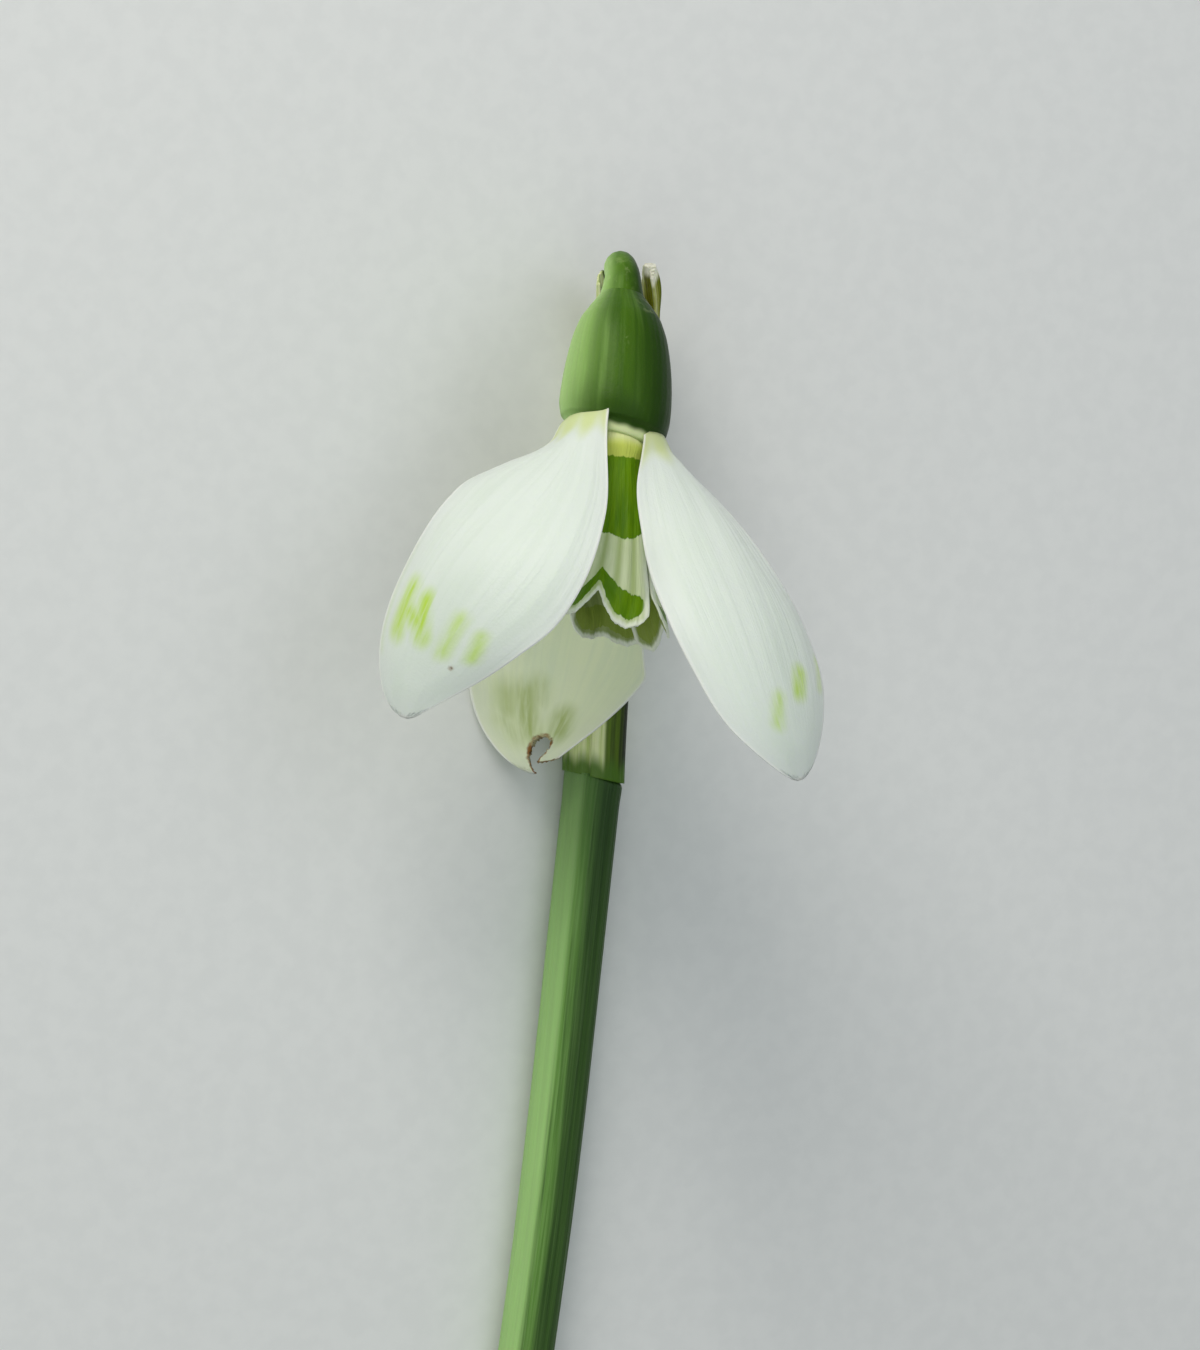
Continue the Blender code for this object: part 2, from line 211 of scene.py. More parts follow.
class Skin:
    """A grid drawn over a surface, with its growth coordinates kept as a UV map."""

    def __init__(self, name: str, rows: int, columns: int) -> None:
        """Starts the grid.

        Args:
            name: The piece's name.
            rows: Steps along the growth direction.
            columns: Steps across it.
        """
        self.name = name
        self.work = bmesh.new()
        uv_layer = self.work.loops.layers.uv.new(GROWTH_UV)
        bmesh.ops.create_grid(self.work, x_segments=rows, y_segments=columns, size=1.0)
        places = np.array([vert.co for vert in self.work.verts])
        self.u = (places[:, 0] + 1) / 2
        self.v = places[:, 1]
        for face in self.work.faces:
            for loop in face.loops:
                loop[uv_layer].uv = ((loop.vert.co.y + 1) / 2, (loop.vert.co.x + 1) / 2)

    def drape(self, surface: Surface, relief: Array | float = 0.0) -> Array:
        """Moves the grid onto a surface.

        Args:
            surface: Gives points and outward normals for each u and v.
            relief: How far each point stands off the surface, in millimetres.

        Returns:
            The points, in the flower's frame.
        """
        points, normals = surface(self.u, self.v)
        points = points + normals * np.broadcast_to(relief, self.u.shape)[:, None]
        for vert, place in zip(self.work.verts, POSE.lay(points)):
            vert.co = place
        return points

    def keep(self, **traits: Array) -> None:
        """Keeps numbers with the points, for a material to read as attributes.

        Args:
            traits: One number per point, under the attribute's name.
        """
        for name, values in traits.items():
            layer = self.work.verts.layers.float.new(name)
            for vert, value in zip(self.work.verts, values):
                vert[layer] = float(value)

    def remove(self, inside: Array) -> None:
        """Deletes the faces whose corners are all marked."""
        marked = {vert for vert, gone in zip(self.work.verts, inside) if gone}
        faces = [face for face in self.work.faces if all(vert in marked for vert in face.verts)]
        bmesh.ops.delete(self.work, geom=faces, context="FACES")

    def finish(self, closed: bool, finish: bpy.types.Material, slot: str) -> bpy.types.Object:
        """Makes the grid an object that rides on the frame and stands for the node of its name.

        Args:
            closed: Whether the grid goes once round, so that its ends are filled.
            finish: The piece's material.
            slot: The record's material slot, which is not used.

        Returns:
            The new object.
        """
        bmesh.ops.remove_doubles(self.work, verts=self.work.verts, dist=1e-7)
        if closed:
            bmesh.ops.holes_fill(self.work, edges=self.work.edges, sides=0)
            bmesh.ops.recalc_face_normals(self.work, faces=self.work.faces)
        for face in self.work.faces:
            face.smooth = True
        mesh = bpy.data.meshes.new(self.name)
        self.work.to_mesh(mesh)
        self.work.free()
        mesh.materials.append(finish)
        piece = bpy.data.objects.new(self.name, mesh)
        bpy.context.scene.collection.objects.link(piece)
        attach(piece, BODY)
        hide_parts(self.name)
        LOG.info("%s: %d points", self.name, len(mesh.vertices))
        return piece


def thicken(piece: bpy.types.Object, thickness: float, thin_edge: float) -> None:
    """Gives a draped sheet its thickness, less at its margin.

    Args:
        piece: The sheet, with a point attribute named flesh from 0 at the margin to 1.
        thickness: Thickness in the middle, in millimetres.
        thin_edge: Thickness at the margin, as a share of that.
    """
    group = piece.vertex_groups.new(name="flesh")
    values = piece.data.attributes["flesh"].data
    for index, value in enumerate(values):
        group.add([index], value.value, "REPLACE")
    solid = piece.modifiers.new("flesh", "SOLIDIFY")
    solid.thickness = thickness * MM
    solid.offset = 0.0
    solid.vertex_group = group.name
    solid.thickness_vertex_group = thin_edge


# ---------------------------------------------------------------- material nodes


def linear(colour: str) -> tuple[float, float, float, float]:
    """Returns an sRGB hex colour as linear red, green, blue and alpha."""
    parts = [int(colour[i : i + 2], 16) / 255 for i in (1, 3, 5)]
    rgb = [p / 12.92 if p <= 0.04045 else ((p + 0.055) / 1.055) ** 2.4 for p in parts]
    return rgb[0], rgb[1], rgb[2], 1.0


def add_node(
    tree: bpy.types.NodeTree,
    kind: str,
    settings: Mapping[str | int, Any] | None = None,
    links: Mapping[str | int, Socket] | None = None,
) -> bpy.types.Node:
    """Adds a shader node.

    Args:
        tree: The material's node tree.
        kind: The node's type, such as ShaderNodeMath.
        settings: Values for the node's own settings, or for its inputs by name or number.
        links: Outputs that feed its inputs, by name or number.

    Returns:
        The new node.
    """
    made = tree.nodes.new(kind)
    for key, value in (settings or {}).items():
        if isinstance(key, str) and hasattr(made, key):
            setattr(made, key, value)
        else:
            made.inputs[key].default_value = value
    for key, output in (links or {}).items():
        tree.links.new(output, made.inputs[key])
    return made


# How much the finer layers of a pattern count beside the coarse one.
FINENESS = 0.55
# Between these a ragged edge goes from none to all.
RAGGED_EDGE = (0.35, 0.65)


@dataclass(frozen=True)
class Grain:
    """A natural pattern of streaks or specks, sized in millimetres.

    Attributes:
        width: Width of a streak, or size of a speck.
        length: Length of a streak along the way the piece grows, or 0 for specks.
        low: Strength of the raw pattern that gives none.
        high: Strength of the raw pattern that gives all.
        least: What is left where there is none, from 0 to 1.
        detail: How many finer layers the pattern has.
    """

    width: float
    length: float = 0.0
    low: float = 0.35
    high: float = 0.65
    least: float = 0.0
    detail: float = 3.0

    def spread(self, tree: bpy.types.NodeTree, span: tuple[float, float]) -> Socket:
        """Adds the pattern to a material.

        Args:
            tree: The material's node tree.
            span: The piece's width and length, in millimetres.

        Returns:
            The pattern, from 0 to 1.
        """
        if self.length:
            source = add_node(tree, "ShaderNodeUVMap", {"uv_map": GROWTH_UV}).outputs["UV"]
            repeats = (span[0] / self.width, span[1] / self.length, 1.0)
        else:
            source = add_node(tree, "ShaderNodeTexCoord").outputs["Object"]
            repeats = (1 / (self.width * MM),) * 3
        sized = add_node(tree, "ShaderNodeMapping", {"Scale": repeats}, {"Vector": source})
        noise = add_node(
            tree, "ShaderNodeTexNoise", {"Scale": 1.0, "Detail": self.detail, "Roughness": FINENESS},
            {"Vector": sized.outputs["Vector"]},
        )
        stretch = {
            "interpolation_type": "SMOOTHSTEP",
            "From Min": self.low, "From Max": self.high, "To Min": self.least, "To Max": 1.0,
        }
        even = add_node(tree, "ShaderNodeMapRange", stretch, {"Value": noise.outputs["Fac"]})
        return even.outputs["Result"]


@dataclass(frozen=True)
class Coat:
    """One colour laid over the colours before it.

    Attributes:
        colour: Its sRGB hex value.
        amount: How much of it shows, from 0 to 1.
        trait: The point attribute that says where it lies, or "" for all over.
        grain: The pattern that breaks it up, if any.
        ragged: How far the pattern moves the coat's edge in and out. At 0 it thins the coat instead.
    """

    colour: str
    amount: float = 1.0
    trait: str = ""
    grain: Grain | None = None
    ragged: float = 0.0

    def lay(self, tree: bpy.types.NodeTree, span: tuple[float, float], under: Socket | str) -> Socket:
        """Adds the coat to a material.

        Args:
            tree: The material's node tree.
            span: The piece's width and length, in millimetres.
            under: The colour below, as an output or an sRGB hex value.

        Returns:
            The colour with the coat on it.
        """
        cover = self.grain.spread(tree, span) if self.grain else None
        if self.trait:
            where = add_node(tree, "ShaderNodeAttribute", {"attribute_name": self.trait}).outputs["Fac"]
            if cover is not None and self.ragged:
                moved = {"operation": "MULTIPLY_ADD", 1: 2 * self.ragged, 2: -self.ragged}
                edge = add_node(tree, "ShaderNodeMath", moved, {0: cover}).outputs["Value"]
                torn = add_node(tree, "ShaderNodeMath", {"operation": "ADD"}, {0: where, 1: edge})
                low, high = RAGGED_EDGE
                sharp = {"interpolation_type": "SMOOTHSTEP", "From Min": low, "From Max": high}
                cover = add_node(tree, "ShaderNodeMapRange", sharp, {"Value": torn.outputs["Value"]})
                cover = cover.outputs["Result"]
            elif cover is not None:
                both = add_node(tree, "ShaderNodeMath", {"operation": "MULTIPLY"}, {0: where, 1: cover})
                cover = both.outputs["Value"]
            else:
                cover = where
        settings: dict[str | int, Any] = {"data_type": "RGBA", 0: self.amount, 7: linear(self.colour)}
        links: dict[str | int, Socket] = {}
        if cover is not None:
            thinned = {"operation": "MULTIPLY", 1: self.amount}
            links[0] = add_node(tree, "ShaderNodeMath", thinned, {0: cover}).outputs["Value"]
        if isinstance(under, str):
            settings[6] = linear(under)
        else:
            links[6] = under
        return add_node(tree, "ShaderNodeMix", settings, links).outputs[2]


@dataclass(frozen=True)
class Relief:
    """A pattern that raises the skin.

    Attributes:
        grain: The pattern.
        depth: How far it raises the skin, in millimetres.
        trait: The point attribute that says where, or "" for all over.
    """

    grain: Grain
    depth: float
    trait: str = ""


@dataclass(frozen=True)
class Finish:
    """What a piece is made of: a body colour, coats over it, a raised grain and a sheen.

    Attributes:
        name: The material's name.
        body: Its sRGB hex colour.
        span: Width and length of the pieces that wear it, in millimetres.
        coats: The colours over it, first to last.
        reliefs: The patterns that raise it.
        roughness: How matt it is.
        specular: How strong its shine is.
        flesh: How much light goes into it and out again.
        glow: How far red, green and blue light travels in it, in millimetres.
        sheen: How downy it is.
    """

    name: str
    body: str
    span: tuple[float, float]
    coats: tuple[Coat, ...] = ()
    reliefs: tuple[Relief, ...] = ()
    roughness: float = 0.5
    specular: float = 0.5
    flesh: float = 0.0
    glow: tuple[float, float, float] = (0.5, 0.5, 0.5)
    sheen: float = 0.0

    def build(self) -> bpy.types.Material:
        """Returns the material."""
        material = bpy.data.materials.new(self.name)
        material.use_nodes = True
        tree = material.node_tree
        shader = tree.nodes["Principled BSDF"]
        colour: Socket | str = self.body
        for coat in self.coats:
            colour = coat.lay(tree, self.span, colour)
        if isinstance(colour, str):
            shader.inputs["Base Color"].default_value = linear(colour)
        else:
            tree.links.new(colour, shader.inputs["Base Color"])
        normal = None
        for relief in self.reliefs:
            height = relief.grain.spread(tree, self.span)
            if relief.trait:
                where = add_node(tree, "ShaderNodeAttribute", {"attribute_name": relief.trait})
                kept = {0: height, 1: where.outputs["Fac"]}
                kept_height = add_node(tree, "ShaderNodeMath", {"operation": "MULTIPLY"}, kept)
                height = kept_height.outputs["Value"]
            links = {"Height": height} if normal is None else {"Height": height, "Normal": normal}
            raised = {"Strength": 1.0, "Distance": relief.depth * MM}
            normal = add_node(tree, "ShaderNodeBump", raised, links).outputs["Normal"]
        if normal is not None:
            tree.links.new(normal, shader.inputs["Normal"])
        values = {
            "Roughness": self.roughness, "Specular IOR Level": self.specular, "Sheen Weight": self.sheen,
            "Subsurface Weight": self.flesh, "Subsurface Radius": self.glow, "Subsurface Scale": MM,
        }
        for key, value in values.items():
            shader.inputs[key].default_value = value
        return material


# ---------------------------------------------------------------- finishes


def petal_flesh(name: str, body: str, mark: str, tinge: float = 0.0) -> Finish:
    """Returns fresh white petal, a soft waxy sheet: satin, a little translucent, finely veined.

    Args:
        name: The material's name.
        body: Colour of the flesh.
        mark: Colour of the green streaks.
        tinge: How green the whole blade is, from 0 to 1.

    Returns:
        The finish.
    """
    veins = Grain(0.54, 15.0, 0.42, 0.62, detail=4.0)
    coats = [
        Coat("#d2dfd2", 0.22, "vein", veins),
        Coat("#d2dfd2", 0.3, grain=Grain(3.6, 8.4, 0.4, 0.7, detail=2.0)),
        Coat("#c3d49a", tinge),
        Coat("#d3e0a0", 1.0, "claw"),
        Coat(mark, 0.95, "mark", Grain(0.7, 3.5, 0.3, 0.6, least=0.5)),
        Coat("#fbfdf6", 1.0, "rim"),
        Coat("#8a5a1e", 1.0, "burn", Grain(0.5, 0.0, 0.35, 0.6, least=0.5)),
        Coat("#33200a", 0.7, "burn", Grain(0.3, 0.0, 0.48, 0.62)),
    ]
    return Finish(
        name, body, (14.0, 24.0), tuple(coat for coat in coats if coat.amount),
        (Relief(veins, 0.012, "vein"), Relief(Grain(0.19, detail=2.0), 0.004)),
        roughness=0.46, specular=0.4, flesh=0.35, glow=(0.6, 0.66, 0.48), sheen=0.1,
    )


# Fresh petal: white, satin, lit from within.
PETAL_WHITE = petal_flesh("petal_flesh_white", "#e0eae1", "#b9dc20")
# The same petal seen on its inner side, a little greener: partly its own tint, partly painted shade.
PETAL_SHADED = petal_flesh("petal_flesh_shaded", "#eef5da", "#8fa32c", 0.25)


def marked_flesh(name: str, body: str, groove: str, marks: tuple[str, str], margin: str) -> Finish:
    """Returns inner petal: firmer, glossier flesh, grooved and marked with green.

    Args:
        name: The material's name.
        body: Colour of the flesh.
        groove: Colour in the grooves.
        marks: The two greens of the marks.
        margin: Colour of the free edge.

    Returns:
        The finish.
    """
    combed = Grain(0.3, 5.0, 0.3, 0.7)
    return Finish(
        name, body, (6.0, 14.0),
        (
            Coat(groove, 0.4, grain=combed),
            Coat(groove, 1.0, "groove"),
            Coat(marks[0], 1.0, "mark", Grain(0.16, 1.6, 0.25, 0.75), ragged=0.3),
            Coat(marks[1], 0.35, "mark", Grain(0.8, 5.0)),
            Coat("#c6d260", 1.0, "claw", Grain(0.3, 1.5), ragged=0.2),
            Coat("#dfe5b0", 0.8, "foot"),
            Coat(margin, 1.0, "rim"),
            Coat("#c9d59f", 1.0, "collar"),
        ),
        (Relief(combed, 0.03),),
        roughness=0.46, specular=0.16, flesh=0.1, glow=(0.3, 0.4, 0.2),
    )


# Outer side of the short petals: white with clear green marks.
PETAL_MARKED = marked_flesh("petal_flesh_marked", "#e6eecb", "#b7c78c", ("#558000", "#86ab00"), "#f0f5e4")
# Their inner side: dull green right to the pale edge.
PETAL_LINING = marked_flesh("petal_flesh_lining", "#a0ad72", "#8b9a5c", ("#82953a", "#95a64c"), "#f0f3e6")

# Ovary skin: smooth, waxy, mid green, streaked; painted light on its left, painted shade on its right and
# foot.
OVARY_SKIN = Finish(
    "ovary_skin", "#456d05", (20.0, 9.0),
    (
        Coat("#9cc866", 0.4, grain=Grain(1.1, 7.5, 0.45, 0.75, detail=4.0)),
        Coat("#2a5200", 0.45, grain=Grain(0.5, 4.0, 0.45, 0.7)),
        Coat("#264a03", 0.5, grain=Grain(4.0, 5.0, 0.45, 0.7, detail=2.0)),
        Coat("#bde58f", 0.78, "light"),
        Coat("#1a3900", 0.95, "shade"),
        Coat("#cfdca4", 1.0, "collar"),
        Coat("#c9d79a", 0.5, "scuff", Grain(0.5, 0.0, 0.52, 0.75)),
    ),
    (Relief(Grain(1.1, 7.5, 0.2, 0.8, detail=4.0), 0.03), Relief(Grain(0.28, detail=2.0), 0.006)),
    roughness=0.45, specular=0.18, flesh=0.12, glow=(0.28, 0.6, 0.14),
)

# Skin of the flower stalk: the same, lighter where it bends into the light.
STALK_SKIN = replace(OVARY_SKIN, name="stalk_skin", body="#4c7608", span=(6.0, 42.0))

# Stem skin: ribbed green under a thin pale bloom, wet flesh where cut; painted light left, painted shade
# right.
STEM_SKIN = Finish(
    "stem_skin", "#6a9a42", (10.0, 60.0),
    (
        Coat("#2b4f12", 1.0, grain=Grain(0.33, 20.0, 0.38, 0.72, detail=4.0)),
        Coat("#a6d27e", 0.3, grain=Grain(0.11, 6.7, 0.4, 0.7)),
        Coat("#b2de8c", 0.76, "lit"),
        Coat("#20400e", 0.8, "shade"),
        Coat("#1d3f12", 0.5, "upper"),
        Coat("#dbe6b8", 1.0, "cut"),
        Coat("#8faa5c", 0.8, "cut", Grain(0.4, 0.0, 0.48, 0.6)),
    ),
    (
        Relief(Grain(0.33, 20.0, 0.2, 0.8, detail=4.0), 0.04),
        Relief(Grain(0.11, 6.7, 0.2, 0.8), 0.012),
    ),
    roughness=0.42, specular=0.3, flesh=0.12, glow=(0.24, 0.48, 0.18),
)

# The sheath: two green keels joined by a pale papery skin that has dried and veined.
SHEATH_SKIN = Finish(
    "sheath_skin", "#f2f9c4", (10.0, 32.0),
    (
        Coat("#c3d67c", 1.0, grain=Grain(0.29, 14.5, 0.4, 0.65, detail=4.0)),
        Coat("#62800f", 1.0, "keel"),
        Coat("#243607", 0.8, "keel", Grain(0.29, 14.5, 0.35, 0.7, detail=4.0)),
        Coat("#0f1c00", 1.0, "shade"),
        Coat("#4c7414", 0.95, "foot"),
        Coat("#7f8206", 0.8, "ripe", Grain(0.4, 3.0, 0.3, 0.6, least=0.5)),
        Coat("#f0f1dc", 1.0, "dry"),
    ),
    (Relief(Grain(0.29, 14.5, 0.2, 0.8, detail=4.0), 0.04),),
    roughness=0.45, specular=0.3, flesh=0.15, glow=(0.24, 0.32, 0.12),
)

# Ripe anthers: powdery orange yellow over a smooth pale filament.
ANTHER_POLLEN = Finish(
    "anther_pollen", "#e3a52f", (2.0, 6.0),
    (Coat("#f2c455", 1.0, grain=Grain(0.17)), Coat("#e8edcf", 1.0, "filament")),
    (Relief(Grain(0.17), 0.02),), roughness=0.8, sheen=0.2,
)

# The style: a smooth, pale, green white rod.
STYLE_FLESH = Finish(
    "style_flesh", "#dfe8c0", (3.0, 8.0), (Coat("#c3d393", 1.0, grain=Grain(0.3, 4.0, 0.4, 0.7)),),
    (Relief(Grain(0.3, 4.0), 0.01),), roughness=0.4, flesh=0.2, glow=(0.4, 0.4, 0.3),
)

# The surface the flower lies on: plain, pale, matt painted board.
PALE_BOARD = Finish(
    "pale_board", "#ebedec", (1.0, 1.0), (Coat("#d6d9d9", 0.15, grain=Grain(1.4, detail=4.0)),),
    roughness=0.75,
)


# ---------------------------------------------------------------- petals


# How far the petals' axis turns from the ovary away from the stem, in degrees.
NODDING = 14.0


class Whorl(Enum):
    """The two rings of petals, each with the sideways lean of its axis in degrees."""

    OUTER = 11.0
    INNER = 3.0

    def axes(self) -> tuple[Array, Array, Array]:
        """Returns the ring's axis, and the two directions across it: right and away from the stem."""
        lean, tilt = radians(self.value), radians(NODDING)
        axis = np.array([-sin(lean) * cos(tilt), -cos(lean) * cos(tilt), sin(tilt)])
        across = np.array([cos(lean), -sin(lean), 0.0])
        outward = np.array([sin(lean) * sin(tilt), cos(lean) * sin(tilt), cos(tilt)])
        return axis, across, outward


@dataclass(frozen=True)
class Band:
    """A green band painted along a line on a petal.

    Attributes:
        path: Places on the petal as (along, across), along from 0 to 1 and across from -1 to 1.
        half_widths: The band's half width at each place, in millimetres.
    """

    path: tuple[tuple[float, float], ...]
    half_widths: tuple[float, ...]

    def depth(self, along: Array, across: Array, length: float, width: Array) -> Array:
        """Returns how far inside the band each place is, in millimetres, negative outside.

        Args:
            along: How far along the petal.
            across: How far across it.
            length: The petal's length.
            width: The petal's half width at each place.

        Returns:
            The depth for each place.
        """
        x, y = across * width, along * length
        best = np.full_like(x, -1e3)
        for k in range(len(self.path) - 1):
            (ay, ax), (by, bx) = self.path[k], self.path[k + 1]
            ax, bx = ax * width, bx * width
            ay, by = ay * length, by * length
            dx, dy = bx - ax, by - ay
            t = np.clip(((x - ax) * dx + (y - ay) * dy) / (dx * dx + dy * dy + 1e-9), 0, 1)
            half = self.half_widths[k] + (self.half_widths[k + 1] - self.half_widths[k]) * t
            best = np.maximum(best, half - np.hypot(x - ax - t * dx, y - ay - t * dy))
        return best


@dataclass(frozen=True)
class Streak:
    """A soft green streak on a petal.

    Attributes:
        start: Its upper end, as (along, across) the petal.
        end: Its lower end.
        half_width: Its half width, in millimetres.
        strength: How green its middle is.
        softness: How far its edge fades each way, in millimetres.
    """

    start: tuple[float, float]
    end: tuple[float, float]
    half_width: float
    strength: float
    softness: float = 0.5

    def amount(self, along: Array, across: Array, length: float, width: Array) -> Array:
        """Works out how green the streak makes each place.

        Args:
            along: How far along the petal.
            across: How far across it.
            length: The petal's length.
            width: The petal's half width at each place.

        Returns:
            How green each place is, from 0 to the strength.
        """
        line = Band((self.start, self.end), (self.half_width, self.half_width))
        depth = line.depth(along, across, length, width)
        return self.strength * smoothstep(-self.softness, self.softness, depth)


@dataclass(frozen=True)
class PetalShape:
    """A petal's midrib, half widths, cupping and ending, in millimetres, degrees and shares.

    The midrib leaves the root at root_radius and azimuth on the flower axis, rises from the axis by
    rise degrees, swings sideways by swing, and is a cubic curve by reach, pull and tip. face is the
    way the blade's outer side looks once it has settled, at that share of the length. left and right
    are half widths, and cup the radii of the cupping, from root to tip. blunt and narrowing round
    the free end off. notch cuts into it at notch_at, corner draws its two corners back, slope slants
    it and fringe frays it, each as a share of the length.
    """

    whorl: Whorl
    azimuth: float
    rise: float
    swing: float
    reach: float
    pull: tuple[float, float, float]
    tip: tuple[float, float, float]
    face: tuple[float, float, float]
    left: tuple[float, ...]
    right: tuple[float, ...]
    cup: tuple[float, ...]
    blunt: float = 8.0
    narrowing: float = 1.0
    notch: float = 0.0
    notch_at: float = 0.0
    notch_width: float = 0.3
    notch_sharpness: float = 1.4
    corner: float = 0.0
    slope: float = 0.0
    fringe: float = 0.0
    root_radius: float = 2.45
    root_height: float = -0.25
    joined_height: float = 0.35
    settled: float = 0.6

    def radial(self) -> Array:
        """Returns the direction from the flower's axis out to the petal's root."""
        across, outward = self.whorl.axes()[1:]
        return across * cos(radians(self.azimuth)) + outward * sin(radians(self.azimuth))

    def course(self) -> Array:
        """Returns the midrib as a fine row of points."""
        axis, radial = self.whorl.axes()[0], self.radial()
        rise, swing = radians(self.rise), radians(self.swing)
        leaving = axis * cos(rise) + radial * sin(rise)
        leaving = leaving * cos(swing) + np.cross(radial, axis) * sin(swing)
        root = axis * self.joined_height + radial * self.root_radius
        t = np.linspace(0, 1, COURSE_STEPS)
        return bezier((root, root + leaving * self.reach, self.pull, self.tip), t)

    def length(self) -> float:
        """Returns the midrib's length, in millimetres."""
        return float(np.linalg.norm(np.diff(self.course(), axis=0), axis=1).sum())

    def half_width(self, u: Array, v: Array) -> Array:
        """Returns the half width on the side that v is on."""
        rounding = np.sqrt(np.clip(1 - (self.narrowing * u) ** self.blunt, 0, 1))
        return np.where(v < 0, through(self.left, u), through(self.right, u)) * rounding

    def surface(self, u: Array, v: Array) -> tuple[Array, Array]:
        """Bends the blade round its midrib and ends it in its notch, corners and fringe.

        Args:
            u: How far down the petal each point is, from 0 to 1.
            v: How far across it, from -1 to 1.

        Returns:
            The points, in millimetres, and the outward normals.
        """
        axis, radial = self.whorl.axes()[0], self.radial()
        course = self.course()
        run = np.concatenate([[0], np.cumsum(np.linalg.norm(np.diff(course, axis=0), axis=1))])
        frayed = self.fringe * (np.sin(23 * v + 1.0) + 0.6 * np.sin(57 * v) + 0.4 * np.sin(131 * v + 2.0))
        sinus = np.exp(-(np.abs((v - self.notch_at) / self.notch_width) ** self.notch_sharpness))
        ending = self.notch * sinus + self.corner * v**4 + self.slope * (1 + v) / 2 - frayed
        grown = u * (1 - ending * smoothstep(0.3, 1.0, u))
        distance = np.clip(grown, 0, 1) * run[-1]

        def read(samples: Array) -> Array:
            """Returns the samples as they are at each distance down the midrib."""
            return np.stack([np.interp(distance, run, samples[:, k]) for k in range(3)], -1)

        middle = read(course)
        along = unit(read(np.gradient(course, axis=0)))
        leaving = along[np.argmin(u)]
        turn = smoothstep(0, self.settled, grown)[:, None]
        root_face = unit(radial - leaving * (radial @ leaving))
        face = unit((1 - turn) * root_face + turn * unit(self.face))
        face = unit(face - along * (face * along).sum(1, keepdims=True))
        side = np.cross(face, along)
        radius = bezier(self.cup, u)
        bend = v * self.half_width(u, v) / radius
        sine, cosine = np.sin(bend)[:, None], np.cos(bend)[:, None]
        points = middle + side * radius[:, None] * sine - face * radius[:, None] * (1 - cosine)
        points -= axis * ((self.joined_height - self.root_height) * fade(0, 0.05, u))[:, None]
        return points, face * cosine + side * sine


@dataclass
class OuterPetal:
    """One of the three large petals, with its ribs, waves and green streaks.

    Heights, thickness, fleshy_from, rim_width and speck_size are in millimetres. claw, veins_* and
    ribs_* are the shares of the petal's length, or of its half width for ribs_edge, between which
    each one fades. crowding draws the grid's rows together towards the tip.
    """

    name: str
    shape: PetalShape
    finish: Finish
    streaks: tuple[Streak, ...] = ()
    speck: tuple[float, float] | None = None
    seed: float = 0.0
    rows: int = 150
    columns: int = 96
    crowding: float = 1.5
    veins: int = 11
    rib_height: float = 0.007
    fold_height: float = 0.06
    wave_height: float = 0.06
    thickness: float = 0.32
    thin_edge: float = 0.3
    fleshy_from: float = 2.2
    rim_width: float = 0.22
    rim_strength: float = 0.8
    claw: tuple[float, float] = (0.02, 0.11)
    veins_start: tuple[float, float] = (0.05, 0.2)
    veins_end: tuple[float, float] = (0.7, 0.95)
    ribs_start: tuple[float, float] = (0.03, 0.2)
    ribs_end: tuple[float, float] = (0.6, 0.92)
    ribs_edge: tuple[float, float] = (0.85, 1.0)
    speck_size: tuple[float, float] = (0.05, 0.22)
    speck_strength: float = 0.7

    def relief(self, u: Array, v: Array) -> Array:
        """Works out how far ribs, folds and the waved margin stand off the blade.

        Args:
            u: How far down the petal each place is.
            v: How far across it.

        Returns:
            The height at each place, in millimetres.
        """
        inside = smoothstep(*self.ribs_start, u) * fade(*self.ribs_edge, np.abs(v))
        inside = inside * fade(*self.ribs_end, u)
        ribs = np.cos(pi * self.veins * (v + 0.03 * np.sin(9 * u + self.seed)))
        ribs = self.rib_height * (ribs + np.sin(17.0 * v + 2.0 * u + self.seed)) * inside
        folds = self.fold_height * np.sin(4.2 * v + self.seed + 1.5 * u) * np.sin(pi * u)
        waves = self.wave_height * np.abs(v) ** 4 * np.sin(17 * u + 3.0 * self.seed + np.sign(v))
        return ribs + folds + waves * smoothstep(0.15, 0.4, u)

    def drape(self, skin: Skin) -> None:
        """Moves the grid onto the blade and keeps what its material reads.

        Args:
            skin: The grid.
        """
        u, v = skin.u, skin.v
        width, length = self.shape.half_width(u, v), self.shape.length()
        margin = np.minimum(width * (1 - np.abs(v)), (1 - u) * length)
        streaks = [streak.amount(u, v, length, width) for streak in self.streaks]
        skin.drape(self.shape.surface, self.relief(u, v))
        skin.keep(
            flesh=smoothstep(0.0, self.fleshy_from, margin),
            rim=self.rim_strength * fade(0.0, self.rim_width, margin),
            claw=fade(*self.claw, u + 0.02 * np.cos(9 * v)),
            mark=np.max([np.zeros_like(u)] + streaks, 0),
            vein=fade(*self.veins_end, u) * smoothstep(*self.veins_start, u),
            burn=self.burn(u, v),
        )

    def burn(self, u: Array, v: Array) -> Array:
        """Works out the small bruise on the blade.

        Args:
            u: How far down the petal each place is.
            v: How far across it.

        Returns:
            How brown each place is, from 0 to 1.
        """
        if self.speck is None:
            return np.zeros_like(u)
        down = (u - self.speck[0]) * self.shape.length()
        across = (v - self.speck[1]) * self.shape.half_width(u, v)
        return self.speck_strength * fade(*self.speck_size, np.hypot(down, across))

    def build(self) -> bpy.types.Object:
        """Makes the petal."""
        skin = Skin(self.name, self.rows, self.columns)
        skin.u = 1 - (1 - skin.u) ** self.crowding
        self.drape(skin)
        self.trim(skin)
        piece = skin.finish(False, self.finish.build(), "petal_white")
        thicken(piece, self.thickness, self.thin_edge)
        return piece

    def trim(self, skin: Skin) -> None:
        """Leaves the blade whole."""


